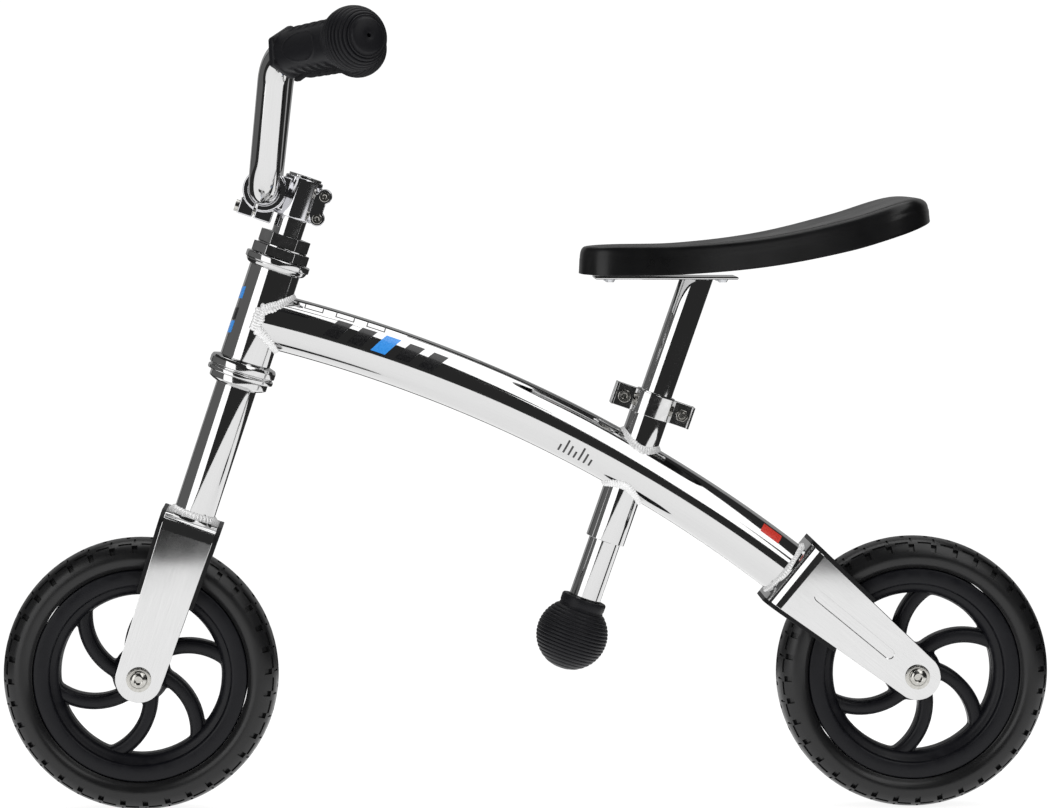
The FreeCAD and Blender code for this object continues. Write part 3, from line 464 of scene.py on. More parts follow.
for node, name, body, place in (("fork_bracket", "fork_bracket_plate", "fork", FORK),
                                ("rear_bracket", "rear_bracket_plate", "frame", REAR)):
    redrawn_piece(node, name, body, "satin_aluminium", satin_plate, place)


# --------------------------------------
# Finger guards. Moulded black nylon liners pushed into the brackets, their rims standing 3 mm
# proud of the plate edges so that small fingers meet plastic and not the plate.
guard_nylon = mottled("guard_black_nylon", 3.5, (0.34, 0.5), (0.003, 0.003, 0.0035), (0.006, 0.006, 0.0065),
                      0.05, 0.4, detail=4.0, IOR=1.5, Specular_IOR_Level=0.25)

for node, name, body, place in (("fork_finger_guard", "fork_guard_liner", "fork", FORK),
                                ("rear_finger_guard", "rear_guard_liner", "frame", REAR)):
    redrawn_piece(node, name, body, "black_plastic", guard_nylon, place, edge=0.4)


# --------------------------------------
# Fork tube. A turned tube, 30 mm below the crown race and 25.4 mm threaded steerer above it,
# polished like the frame.
bm = turned([(11.2, CROWN), (15.0, CROWN), (15.0, 221.5), (12.7, 221.5), (12.7, 336.5), (11.2, 336.5)], 0.5)
piece(bm, "fork_tube_polished", "fork", polished_tube, ["fork_tube"], FORK)


# --------------------------------------
# Headset. Pressed and turned steel cups and a crown race, chrome plated, with two rings of loose
# balls; above them an adjusting nut, a tabbed washer and a locknut, all with chamfered corners.
chrome = new_finish("headset_chrome_plate", Metallic=1.0)
haze = pattern(chrome, 0.16, Detail=4.0)
turning = pattern(chrome, 2.4, (0.12, 0.12, 1), Detail=3.0)
vary_gloss(chrome, haze, 0.05, 0.14)
vary_colour(chrome, haze, (0.60, 0.60, 0.60), (0.70, 0.70, 0.70))
relief(chrome, turning, 0.008, 0.3)

bm = turned([(20.6, 229.0), (24.1, 229.0), (24.5, 229.6), (24.5, 231.8), (23.3, 232.4), (23.3, 233.4),
             (24.5, 234.0), (24.5, 238.0), (23.6, 240.0), (20.4, 241.0), (15.1, 241.0), (15.1, 248.0),
             (13.3, 248.0), (13.3, 233.6), (20.6, 233.6)], 0.35)
piece(bm, "lower_cup_chrome", "frame", chrome, ["headset_lower_cup"], FORK)

bm = turned([(13.3, 303.5), (15.1, 303.5), (15.1, 310.5), (19.4, 310.5), (21.2, 311.4), (22.4, 313.2),
             (22.6, 314.2), (23.8, 314.8), (23.8, 318.6), (23.4, 319.2), (20.6, 319.2), (20.6, 314.6),
             (13.3, 314.6)], 0.35)
piece(bm, "upper_cup_chrome", "frame", chrome, ["headset_upper_cup"], FORK)

bm = turned([(12.7, 221.5), (15.6, 221.5), (19.0, 222.8), (21.5, 224.2), (21.5, 228.7), (12.7, 228.7)], 0.4)
piece(bm, "crown_race_chrome", "fork", chrome, ["crown_race"], FORK)

for node, edge in (("adjusting_nut", 0.7), ("locknut", 0.7), ("lock_washer", 0.2)):
    redrawn_piece(node, node + "_chrome", "fork", "chrome", chrome, FORK, edge=edge)


# --------------------------------------
# Tyres. Solid foam rubber rings, 40 mm wide, moulded with a round shoulder, a ring of small
# pockets along it, slanting dashes beside the tread and fine cuts across the crown.
tyre_rubber = new_finish("foam_tyre_rubber", IOR=1.5, Specular_IOR_Level=0.45)
grain = pattern(tyre_rubber, 1.8, Detail=6.0, Roughness=0.65)
dust = pattern(tyre_rubber, 0.05, Detail=4.0)
vary_gloss(tyre_rubber, dust, 0.28, 0.36)
vary_colour(tyre_rubber, grain, (0.0035, 0.0035, 0.004), (0.0075, 0.0075, 0.008))
relief(tyre_rubber, grain, 0.03, 0.3)

WHEEL_TURN = Matrix.Rotation(radians(90), 4, "X")
LUGS = 36
LUG_STEPS = 12


def draw_tyre(bm):
    """The tyre about its own Z, with one repeat of tread every ten degrees."""
    upper = [(78.2, 15.2), (78.9, 15.7), (80.0, 17.6), (82.2, 19.3), (85.0, 20.0), (88.0, 19.9), (90.6, 19.0),
             (92.2, 18.1), (94.6, 16.2), (95.6, 15.2), (96.3, 14.3), (97.0, 13.3), (98.0, 11.6), (98.7, 9.6),
             (99.2, 7.6), (99.6, 5.4), (99.85, 3.0), (99.95, 1.2)]
    outline = upper + [(radius, -height) for radius, height in reversed(upper)]
    lathe(bm, outline, steps=LUGS * LUG_STEPS)
    bm.normal_update()
    pockets, dashes, cuts = [], [], []
    for face in bm.faces:
        middle = face.calc_center_median()
        radius, height = hypot(middle.x, middle.y), abs(middle.z)
        step = int(degrees(atan2(middle.y, middle.x)) % 360 / 360 * LUGS * LUG_STEPS) % LUG_STEPS
        if middle.z < 0:
            step = (step + LUG_STEPS // 2) % LUG_STEPS
        if step in (1, 2, 3) and 91.0 < radius < 95.4:
            pockets.append(face)
        elif 95.6 < radius < 96.9 and 4 <= step <= 10:
            dashes.append(face)
        elif (97.0 < radius < 99.3 and step == 2 and height > 5.4
              or radius > 99.5 and step in (5, 6) and height < 5.4):
            cuts.append(face)
    for group, depth in ((pockets, 2.2), (dashes, 0.8), (cuts, 1.1)):
        sunk = bmesh.ops.extrude_face_region(bm, geom=group, use_keep_orig=False)["geom"]
        for vert in verts_of(sunk):
            out = Vector((vert.co.x, vert.co.y, 0)).normalized() * 0.75
            out.z = 0.66 * (1 if vert.co.z > 0 else -1) * min(1, abs(vert.co.z) / 12)
            vert.co -= out * depth
        bmesh.ops.delete(bm, geom=[face for face in group if face.is_valid], context="FACES")


tyre = bmesh.new()
draw_tyre(tyre)
for end, centre in (("front", -282.5), ("rear", 282.5)):
    piece(tyre.copy(), f"{end}_tyre_moulded", f"{end}_wheel", tyre_rubber, [f"{end}_tyre"],
          Matrix.Translation((centre, 0, 100)) @ WHEEL_TURN, crease=40)


# --------------------------------------
# Wheels. One-piece mouldings in black glass-filled nylon: a stepped rim, a hub bored for two
# bearings, and six curved spokes with a raised rib, flared where they grow out of hub and rim.
wheel_nylon = new_finish("wheel_black_nylon", IOR=1.5, Specular_IOR_Level=0.25)
flow = pattern(wheel_nylon, 0.12, Detail=5.0)
fine = pattern(wheel_nylon, 2.6, Detail=5.0, Roughness=0.6)
vary_gloss(wheel_nylon, flow, 0.30, 0.46)
vary_colour(wheel_nylon, flow, (0.0035, 0.0036, 0.0055), (0.006, 0.0062, 0.0085))
relief(wheel_nylon, fine, 0.05, 0.35)

SPOKE_CENTRE, SPOKE_BEND = Vector((34.07, -25.45)), 45.93
HOLE_RADIUS = 58.7


def spoke_point(angle, offset=0.0, turn=0.0):
    """A point beside a spoke's curved centre line, angle in degrees about the curve's own centre."""
    spot = SPOKE_CENTRE + (SPOKE_BEND + offset) * radial(angle).to_2d()
    spot.rotate(Matrix.Rotation(radians(turn), 2))
    return spot


def spoke_edge(offset, turn, start, end, count=9):
    """Points along one edge of a spoke, from one radius out to another."""
    low = found_between(150.0, 95.0, lambda angle: spoke_point(angle, offset).length - start)
    high = found_between(100.0, 20.0, lambda angle: spoke_point(angle, offset).length - end)
    return [spoke_point(low + (high - low) * index / count, offset, turn) for index in range(count + 1)]


def draw_web(bm, turn):
    """A flat web with six openings between the spokes, its edges well rounded."""
    loops = [[64.0 * radial(3 * index) for index in range(120)],
             [9.5 * radial(6 * index) for index in range(60)]]
    for index in range(6):
        one = spoke_edge(-5.4, turn + 60 * index, 21.0, HOLE_RADIUS)
        other = spoke_edge(5.4, turn + 60 * (index - 1), 21.0, HOLE_RADIUS)
        first = atan2(other[-1].y, other[-1].x)
        sweep = (atan2(one[-1].y, one[-1].x) - first) % (2 * pi)
        rim = [HOLE_RADIUS * Vector((cos(first + sweep * part / 6), sin(first + sweep * part / 6)))
               for part in range(1, 6)]
        loops.append(softened(other + rim + list(reversed(one)), 7.0))
    edges = []
    for loop in loops:
        points = [bm.verts.new((point.x, point.y, -5.6)) for point in loop]
        edges += [bm.edges.new(pair) for pair in zip(points, points[1:] + points[:1])]
    filled = bmesh.ops.triangle_fill(bm, edges=edges, use_beauty=True, use_dissolve=False)["geom"]
    faces = [part for part in filled if isinstance(part, bmesh.types.BMFace)]
    grown = bmesh.ops.extrude_face_region(bm, geom=faces, use_keep_orig=True)["geom"]
    bmesh.ops.translate(bm, vec=(0, 0, 11.2), verts=verts_of(grown))
    bmesh.ops.recalc_face_normals(bm, faces=bm.faces)
    brims = [edge for edge in bm.edges if len(edge.link_faces) == 2 and edge.calc_face_angle(0) > 1.2]
    bmesh.ops.bevel(bm, geom=brims, offset=2.4, offset_type="OFFSET", segments=4, profile=0.5,
                    affect="EDGES", clamp_overlap=True, material=-1)


def draw_rib(bm, turn):
    """The raised rib along the middle of a spoke, from the hub to the rim's step."""
    half_section = [(4.6, 4.2), (4.3, 6.0), (3.4, 7.1), (1.8, 7.55), (0.0, 7.6)]
    section = half_section + [(-across, high) for across, high in reversed(half_section[:-1])]
    section += [(across, -high) for across, high in reversed(section)]
    path = [Vector((*spot, 0)) for spot in spoke_edge(0.0, turn, 16.9, 64.5, 26)]
    points = [bm.verts.new((across, high, 0)) for across, high in section]
    edges = [bm.edges.new(pair) for pair in zip(points, points[1:] + points[:1])]
    first_ring = points
    for index, spot in enumerate(path):
        ahead = (path[min(index + 1, len(path) - 1)] - path[max(index - 1, 0)]).normalized()
        sideways = Vector((-ahead.y, ahead.x, 0))
        if index:
            fresh, edges = grow(bm, edges)
            fresh = set(fresh)
            points = [next(other for edge in vert.link_edges for other in edge.verts if other in fresh)
                      for vert in points]
        root = 1 + 0.35 * max(0.0, (spot.length - 56.0) / 8.0) ** 2
        for vert, (across, high) in zip(points, section):
            vert.co = spot + sideways * across * root + Vector((0, 0, high))
    for end in (first_ring, points):
        bmesh.ops.contextual_create(bm, geom=end)


for end, centre, turn in (("front", -282.5, 0.0), ("rear", 282.5, 10.0)):
    bm = bmesh.new()
    draw_web(bm, turn)
    for index in range(6):
        draw_rib(bm, 60.0 * index + turn)
    side = [(58.7, 4.0), (59.2, 7.6), (60.6, 10.0), (63.2, 11.6), (65.3, 12.0), (65.9, 12.6), (66.0, 14.6),
            (66.7, 15.6), (68.0, 16.0), (76.4, 16.0), (77.2, 15.7), (77.5, 15.0), (77.7, 14.6)]
    lathe(bm, side + [(radius, -height) for radius, height in reversed(side)], steps=180)
    hub = [(11.0, 22.0), (14.6, 22.0), (16.2, 21.2), (17.0, 19.6), (17.2, 12.0), (18.8, 7.6), (21.0, 5.4)]
    hub += [(radius, -height) for radius, height in reversed(hub)]
    hub += [(11.0, -15.0), (8.5, -15.0), (8.5, 15.0), (11.0, 15.0)]
    lathe(bm, hub, steps=90)
    piece(bm, f"{end}_wheel_moulded", f"{end}_wheel", wheel_nylon, [f"{end}_wheel_core"],
          Matrix.Translation((centre, 0, 100)) @ WHEEL_TURN, crease=48)


# --------------------------------------
# Axle screws. Domed steel screws with a hexagon socket and a matching sleeve nut on the far side,
# each on a turned washer, nickel plated.
nickel = mottled("nickel_plated_steel", 0.5, (0.10, 0.24), (0.46, 0.45, 0.42), (0.60, 0.59, 0.56), 0.02, 0.3,
                 Metallic=1.0)


def draw_screw(bm, radius, height, socket, shank, length):
    """A domed head above its seat at zero, a six-sided socket in it and a plain shank below."""
    dome = [(1.0, 0.0), (1.0, 0.30), (0.96, 0.52), (0.84, 0.78), (0.66, 0.95), (0.50, 1.0), (0.47, 0.97)]
    lathe(bm, [(0.0, -length), (shank - 0.4, -length), (shank, -length + 0.5), (shank, 0.0)]
          + [(across * radius, high * height) for across, high in dome], steps=48, closed=False)
    inner, edges = grow(bm, [edge for edge in bm.edges if edge.is_boundary])
    for vert in inner:
        turn = atan2(vert.co.y, vert.co.x)
        wedge = (turn % (pi / 3)) - pi / 6
        reach = socket / 2 / cos(wedge)
        vert.co = Vector((reach * cos(turn), reach * sin(turn), 0.93 * height))
    floor, _ = grow(bm, edges)
    for vert in floor:
        vert.co.z = 0.25 * height
    bmesh.ops.contextual_create(bm, geom=floor)


NEAR = Matrix.Rotation(radians(90), 4, "X")
FAR = Matrix.Rotation(radians(-90), 4, "X")
for end, body, centre in (("front", "fork", -282.5), ("rear", "frame", 282.5)):
    hub = Matrix.Translation((centre, 0, 100))
    for part, side, length in (("bolt", NEAR, 56.0), ("nut", FAR, 6.0)):
        bm = bmesh.new()
        draw_screw(bm, 6.5, 4.4, 5.0, 4.0 if part == "bolt" else 3.9, length)
        bmesh.ops.translate(bm, vec=(0, 0, 32.5), verts=bm.verts)
        piece(bm, f"{end}_axle_{part}_head", body, nickel, [f"{end}_axle_{part}"], hub @ side)
    bm = bmesh.new()
    for low in (31.0, -32.5):
        lathe(bm, softened([(4.1, low), (9.0, low), (9.0, low + 1.5), (4.1, low + 1.5)], 0.35), steps=64)
    piece(bm, f"{end}_axle_washer_pair", body, nickel, [f"{end}_axle_washers"], hub @ NEAR)


# --------------------------------------
# Seat post. A long 23.4 mm polished tube, sliding in the seat tube, its top cut level for the seat
# plate and its foot closed by the rubber ball.
bm = pipe(11.7, 9.9, -214.0, 58.0, edge=0.4, steps=80)
for vert in bm.verts:
    if vert.co.z > 0:
        lean = (POST @ Vector((vert.co.x, vert.co.y, 0))).z
        vert.co.z = (388.6 - lean) / cos(radians(19.0)) - (58.0 - vert.co.z)
piece(bm, "seat_post_polished", "seat", polished_tube, ["seat_post"], POST)


# --------------------------------------
# Seat post clamp. Two pressed and chromed half bands whose ears are drawn together by one socket
# screw in front and one behind.
for node, name in (("seat_clamp_near_half", "clamp_near_band"), ("seat_clamp_far_half", "clamp_far_band")):
    redrawn_piece(node, name, "frame", "polished_aluminium", chrome, POST, edge=0.45)
for node, name in (("seat_clamp_bolts", "clamp_socket_screws"), ("seat_clamp_nuts", "clamp_nuts")):
    redrawn_piece(node, name, "frame", "steel_fastener", nickel, POST, edge=0.3)


# --------------------------------------
# Post bumper. A soft black rubber ball with a collar, pressed over the foot of the seat post. Fine
# rings are moulded round it, square to the post, so a heel or the floor doesn't mark.
bumper_rubber = mottled("bumper_black_rubber", 1.6, (0.40, 0.56), (0.0035, 0.0035, 0.005),
                        (0.007, 0.007, 0.0095), 0.05, 0.4, IOR=1.5, Specular_IOR_Level=0.25)

BALL, BALL_LEVEL = 26.3, -220.5
RING_PITCH = 2.62
bm = bmesh.new()
outline = [(0.0, -246.0), (5.8, -246.0)]
level = -245.4
while level < -200.0:
    part = (level - BALL_LEVEL) / BALL
    reach = BALL * sqrt(max(0.0, 1 - part * part))
    phase = ((level - BALL_LEVEL) / RING_PITCH) % 1.0
    dip = 0.75 * (1 - abs(2 * phase - 1)) ** 3
    if reach > 6.2:
        outline.append((reach - dip, level))
    level += RING_PITCH / 8
outline += [(16.2, -199.0), (16.7, -198.0), (16.7, -193.4), (16.0, -192.5), (12.2, -192.5), (11.8, -193.0),
            (11.8, -214.0), (0.0, -214.0)]
lathe(bm, outline, steps=96, closed=False)
piece(bm, "post_bumper_ball", "seat", bumper_rubber, ["post_bumper"], POST, crease=50)


# --------------------------------------
# Seat. A saddle moulded in one piece of semi-gloss black plastic, hollow underneath, with a soft
# rolled rim, a crease along its side and a flat boss where the seat plate is screwed on.
seat_plastic = new_finish("seat_black_plastic", IOR=1.5, Specular_IOR_Level=0.32,
                          Coat_Weight=0.05, Coat_Roughness=0.2)
leather = pattern(seat_plastic, 1.3, Detail=5.0, Roughness=0.6)
wear = pattern(seat_plastic, 0.04, Detail=4.0)
vary_gloss(seat_plastic, wear, 0.26, 0.36)
vary_colour(seat_plastic, wear, (0.003, 0.003, 0.0032), (0.005, 0.005, 0.0055))
relief(seat_plastic, leather, 0.03, 0.35)

SEAT_LOWER = [(36.0, 392.4), (40.0, 392.0), (60.0, 391.6), (110.0, 392.9), (170.0, 399.3), (226.0, 411.0),
              (262.0, 422.0), (284.0, 429.6), (290.0, 431.8)]
SEAT_UPPER = [(36.0, 410.6), (40.0, 411.8), (60.0, 412.8), (110.0, 414.0), (170.0, 421.0), (226.0, 434.2),
              (262.0, 445.6), (274.0, 448.0), (285.0, 447.4), (290.0, 446.0)]
SEAT_PLAN = [(36.0, 0.0), (37.2, 9.0), (41.0, 16.4), (50.0, 24.0), (62.0, 27.4), (80.0, 29.2), (105.0, 33.0),
             (131.0, 39.2), (160.0, 47.5), (190.0, 56.0), (218.0, 62.7), (248.0, 66.0), (265.0, 63.6),
             (276.0, 56.0), (283.0, 45.0), (287.6, 31.0), (289.6, 15.0), (290.0, 0.0)]


def through(points, x):
    """A smooth line through points, read at x."""
    last = len(points) - 1
    spot = max(0, min(last - 1, sum(1 for point in points if point[0] <= x) - 1))
    (x0, y0), (x1, y1) = points[spot], points[spot + 1]
    before, after = points[max(0, spot - 1)], points[min(last, spot + 2)]
    width = x1 - x0
    lead = (y1 - before[1]) / (x1 - before[0]) * width
    tail = (after[1] - y0) / (after[0] - x0) * width
    t = min(1.0, max(0.0, (x - x0) / width))
    return ((2 * t ** 3 - 3 * t ** 2 + 1) * y0 + (t ** 3 - 2 * t ** 2 + t) * lead
            + (3 * t ** 2 - 2 * t ** 3) * y1 + (t ** 3 - t ** 2) * tail)


def plan_points(count):
    """Evenly spaced points once round the seat, seen from above."""
    side = []
    for (x0, y0), (x1, y1) in zip(SEAT_PLAN, SEAT_PLAN[1:]):
        for share in (0.0, 0.25, 0.5, 0.75):
            x = x0 + (x1 - x0) * share
            side.append(Vector((x, y0 if share == 0 else through(SEAT_PLAN, x))))
    side.append(Vector((290.0, 0.0)))
    lengths = [0.0]
    for here, after in zip(side, side[1:]):
        lengths.append(lengths[-1] + (after - here).length)
    even = []
    for index in range(count + 1):
        target = lengths[-1] * index / count
        spot = max(0, min(len(side) - 2, sum(1 for one in lengths if one <= target) - 1))
        share = (target - lengths[spot]) / (lengths[spot + 1] - lengths[spot])
        even.append(side[spot].lerp(side[spot + 1], share))
    return even + [Vector((point.x, -point.y)) for point in reversed(even[1:-1])]


# Each loop round the seat: share of the way out from the spine, share of the height from the
# lower edge to the top, and millimetres added to the height.
SEAT_LOOPS = [(0.0, 1.0, -2.2), (0.25, 1.0, -2.1), (0.5, 1.0, -1.6), (0.7, 1.0, -0.8), (0.80, 1.0, -0.25),
              (0.86, 1.0, 0.0), (0.90, 0.985, 0.0), (0.93, 0.945, 0.0), (0.952, 0.885, 0.0), (0.966, 0.81, 0.0),
              (0.974, 0.73, 0.0), (0.977, 0.66, 0.0), (0.980, 0.61, 0.0), (0.985, 0.57, 0.0),
              (0.988, 0.50, 0.0), (0.992, 0.30, 0.0), (0.997, 0.10, 0.0), (1.0, 0.02, 0.0), (0.998, 0.0, 0.0),
              (0.97, 0.0, 0.0), (0.955, 0.03, 0.0), (0.945, 0.2, 0.0), (0.92, 0.55, 0.0),
              (0.86, 0.72, 0.0), (0.6, 0.76, -0.6), (0.3, 0.76, -1.6), (0.0, 0.76, -2.0)]

bm = bmesh.new()
plan = plan_points(90)
ring = bmesh.ops.create_circle(bm, segments=len(plan), radius=1.0)["verts"]
edges = list({edge for vert in ring for edge in vert.link_edges})
for index, (share, rise, lift) in enumerate(SEAT_LOOPS):
    if index:
        ring, edges = grow(bm, edges)
    for vert, point in zip(ring, plan):
        spine = Vector((min(max(point.x, 66.0), 222.0), 0.0))
        spot = spine.lerp(point, share)
        low, high = through(SEAT_LOWER, spot.x), through(SEAT_UPPER, spot.x)
        vert.co = (spot.x, spot.y, low + (high - low) * rise + lift)
piece(bm, "seat_moulding", "seat", seat_plastic, ["seat_shell"], crease=60)

redrawn_piece("seat_plate", "seat_plate_pressed", "seat", "satin_aluminium", satin_plate, edge=1.2, segments=3)


# --------------------------------------
# Stem. Forged aluminium, chrome plated: a split clamp round the steerer with two screws behind, a
# split clamp round the bar with one screw in front, and a turned cap.
stem_chrome = new_finish("stem_forged_chrome", Metallic=1.0)
forge = pattern(stem_chrome, 0.25, Detail=3.0)
vary_gloss(stem_chrome, forge, 0.04, 0.11)
vary_colour(stem_chrome, forge, (0.60, 0.60, 0.62), (0.72, 0.72, 0.74))
relief(stem_chrome, forge, 0.10, 0.35)
hammer = pattern(stem_chrome, 0.07, Detail=1.0)
relief(stem_chrome, hammer, 1.6, 0.8)

stem = piece(redrawn("stem_body", FORK, edge=0.0), "stem_forging", "stem", stem_chrome,
             ["stem_body"], FORK, crease=80)
remesh = stem.modifiers.new("forged_skin", "REMESH")
remesh.mode = "VOXEL"
remesh.voxel_size = 0.00042
remesh.use_smooth_shade = True
soften = stem.modifiers.new("forged_edges", "SMOOTH")
soften.factor, soften.iterations = 0.5, 7

for node, name, slot, finish in (("stem_clamp_bolts", "stem_screw_pair", "steel_fastener", nickel),
                                 ("bar_clamp_bolt", "bar_screw", "steel_fastener", nickel),
                                 ("stem_cap", "stem_cap_turned", "chrome", chrome)):
    redrawn_piece(node, name, "stem", slot, finish, FORK, edge=0.3)
bm = pipe(11.1, 8.0, 247.0, 376.0, edge=0.4, steps=72)
for vert in bm.verts:
    if vert.co.z < 260.0:
        vert.co.z -= vert.co.x * tan(radians(30))
piece(bm, "quill_chromed", "stem", chrome, ["quill_post"], FORK)


# --------------------------------------
# Handlebar. One 22.2 mm aluminium tube, bent four times: level through the stem, up both risers
# and back outwards into the grips. Polished like the frame.
def bent_path(corners, bend, step=4.0):
    """Points along straight runs joined by round bends."""
    points = [corners[0]]
    for before, corner, after in zip(corners, corners[1:], corners[2:]):
        back, on = (before - corner).normalized(), (after - corner).normalized()
        turn = pi - back.angle(on)
        reach = bend * tan(turn / 2)
        middle = corner + (back + on).normalized() * (bend / cos(turn / 2))
        first, last = corner + back * reach - middle, corner + on * reach - middle
        for index in range(15):
            share = index / 14
            points.append(middle + first.slerp(last, share).normalized() * bend)
    points.append(corners[-1])
    filled = []
    for here, after in zip(points, points[1:]):
        pieces = max(1, round((after - here).length / step))
        filled += [here.lerp(after, index / pieces) for index in range(pieces)]
    return filled + [points[-1]]


CLAMP = FORK @ Vector((-25.0, 0, 363.5))
FOOT = Vector((CLAMP.x, -39.5, CLAMP.z))
SHOULDER = Vector((CLAMP.x + 10.0, -69.0, CLAMP.z + 95.2))
OUTWARD = Vector((47.5, -78.0, 8.5)).normalized()
half_bar = [SHOULDER + OUTWARD * 106.0, SHOULDER, FOOT]
corners = half_bar + [Vector((point.x, -point.y, point.z)) for point in reversed(half_bar)]
bm = bmesh.new()
draw_tube(bm, bent_path(corners, bend=28.0), 11.1, segments=48, up=(1, 0, 0.02))
piece(bm, "handlebar_polished", "handlebar", polished_tube, ["handlebar_tube"])


# --------------------------------------
# Grips. Soft black rubber sleeves: a six-sided flange inboard, a ribbed barrel with a smooth oval
# pad on its side, and a big safety ball outboard with rings round its end.
grip_rubber = mottled("grip_black_rubber", 2.0, (0.42, 0.58), (0.0035, 0.0035, 0.005), (0.007, 0.007, 0.0095),
                      0.05, 0.45, roughness=0.6, IOR=1.5, Specular_IOR_Level=0.25)


def draw_grip(bm):
    """The grip about its own Z, its flange at zero and its ball at the far end."""
    outline = [(0.0, 95.0), (11.0, 95.0), (11.3, 94.7), (11.3, 0.3), (11.6, 0.0), (17.0, 0.0), (18.3, 0.6),
               (18.5, 1.6), (18.5, 4.6), (18.2, 5.6), (17.2, 6.2), (15.6, 6.6)]
    outline += [(15.6, 6.6 + 0.5 * index) for index in range(1, 126)]
    for index in range(130):
        spot = -46.0 + index * 0.75
        ring = ((spot + 46.0) / 8.1) % 1.0
        reach = 22.6 - 1.1 * (1 - abs(2 * ring - 1)) ** 3
        outline.append((reach * cos(radians(spot)), 89.0 + reach * sin(radians(spot))))
    outline += [(13.8, 106.2), (12.6, 106.6), (12.2, 107.4), (11.9, 107.9), (11.0, 108.4), (6.0, 109.2),
                (2.2, 109.4), (1.5, 109.0), (1.3, 106.0), (0.0, 106.0)]
    lathe(bm, outline, steps=120, closed=False)
    for vert in bm.verts:
        out, turn = hypot(vert.co.x, vert.co.y), atan2(vert.co.y, vert.co.x)
        if vert.co.z < 6.3 and out > 14.0:
            wedge = (turn % (pi / 3)) - pi / 6
            reach = min(16.3 / cos(wedge), 18.4) * out / 18.5
            vert.co.x, vert.co.y = reach * cos(turn), reach * sin(turn)
        elif 7.0 < vert.co.z < 69.0 and out > 14.0:
            aside = degrees(acos(min(1.0, abs(sin(turn)))))
            oval = ((vert.co.z - 40.0) / 22.0) ** 2 + (aside / 42.0) ** 2
            ring = max(0.0, 1 - abs(oval - 0.93) / 0.10)
            tooth = (vert.co.z / 10.4) % 1.0 if 10.4 < vert.co.z < 62.4 else 0.0
            fade = min(1.0, max(0.0, (aside - 52.0) / 10.0))
            reach = out + 0.45 * ring + 1.5 * tooth * fade
            vert.co.x, vert.co.y = reach * cos(turn), reach * sin(turn)


for node, side in (("left_grip", 1), ("right_grip", -1)):
    mirror = Vector((1, side, 1))
    outward = OUTWARD * mirror
    level = Vector((0, 0, 1)).cross(outward).normalized()
    place = axes_at((SHOULDER + OUTWARD * 18.5) * mirror, outward.cross(level), -level, outward)
    bm = bmesh.new()
    draw_grip(bm)
    piece(bm, node + "_moulded", "handlebar", grip_rubber, [node], place, crease=50)


# --------------------------------------
# Stickers. Plain vinyl trim on the main and head tubes: thin dark outlines along the top, slanted
# bars on the side and a few small patches. They carry no mark or lettering.
def vinyl(name, first, second):
    return mottled(name, 0.6, (0.22, 0.34), first, second, 0.01, 0.3, detail=4.0, IOR=1.5, Coat_Weight=0.5,
                   Coat_Roughness=0.08)


black_vinyl = vinyl("black_vinyl_sticker", (0.006, 0.006, 0.007), (0.010, 0.010, 0.011))
blue_vinyl = vinyl("blue_vinyl_sticker", (0.03, 0.27, 0.78), (0.04, 0.32, 0.86))
red_vinyl = vinyl("red_vinyl_sticker", (0.62, 0.03, 0.02), (0.72, 0.05, 0.03))
STICKER = 0.08


def draw_patch(bm, corners, wrap):
    """A thin patch between four flat corners, laid on a tube by wrap(along, turn, out)."""
    grid = bmesh.ops.create_grid(bm, x_segments=14, y_segments=8, size=0.5)["verts"]
    faces = list({face for vert in grid for face in vert.link_faces})
    low_left, low_right, high_right, high_left = [Vector(corner) for corner in corners]
    for vert in grid:
        u, v = vert.co.x + 0.5, vert.co.y + 0.5
        flat = low_left.lerp(low_right, u).lerp(high_left.lerp(high_right, u), v)
        vert.co = (flat.x, flat.y, 0)
    grown = bmesh.ops.extrude_face_region(bm, geom=faces, use_keep_orig=True)["geom"]
    lifted = verts_of(grown)
    for vert in lifted:
        vert.co.z = STICKER
    for vert in grid + lifted:
        vert.co = wrap(vert.co.x, vert.co.y, vert.co.z)


def slanted(left, right, low, high, lean=0.0):
    """The four corners of a patch, its top leaning on by so much."""
    return [(left, low), (right, low), (right + lean, high), (left + lean, high)]


def on_main_tube(along, turn, out):
    """Millimetres along the main tube from the head tube's axis, degrees up from its near side."""
    return tube_surface(13.3 + degrees(along / ARC_RADIUS), turn - 90, TUBE_RADIUS + 0.02 + out)


def trim(name, finish, patches, wrap=on_main_tube):
    bm = bmesh.new()
    for corners in patches:
        draw_patch(bm, corners, wrap)
    piece(bm, name, "frame", finish)


bars = [slanted(start, start + 11, 2, 44, lean=8) for start in (52.0, 70.0, 106.0, 124.0)]
for start in (34.0, 57.0, 80.0):
    bars += [slanted(start, start + 0.9, 52, 70), slanted(start + 13.1, start + 14.0, 52, 70),
             slanted(start, start + 14.0, 50, 52.2)]
bars += [slanted(110.0, 300.0, 62.0, 64.2), slanted(165.0, 286.0, 74.0, 76.2)]
for index in range(7):
    start, top = 242.0 + 4.2 * index, -28.0 + 8.0 * (2 * index % 3)
    bars.append(slanted(start, start + 1.5, -46, top))
trim("main_tube_black_trim", black_vinyl, bars)
trim("main_tube_blue_trim", blue_vinyl, [slanted(88.0, 99.0, 2, 44, lean=8)])


def on_head_tube(along, turn, out):
    """Millimetres up the fork's axis, degrees round from the head tube's near side towards its front."""
    around = radians(turn)
    reach = HEAD_TUBE_RADIUS + 0.02 + out
    return FORK @ Vector((-reach * sin(around), -reach * cos(around), along))


for name, finish, bands in (("head_tube_blue_trim", blue_vinyl, (258.0, 284.0)),
                            ("head_tube_black_trim", black_vinyl, (268.0,))):
    trim(name, finish, [slanted(start, start + 9, 58, 130, lean=-4) for start in bands], on_head_tube)
trim("main_tube_red_patch", red_vinyl, [slanted(400.0, 416.0, 36, 60)])


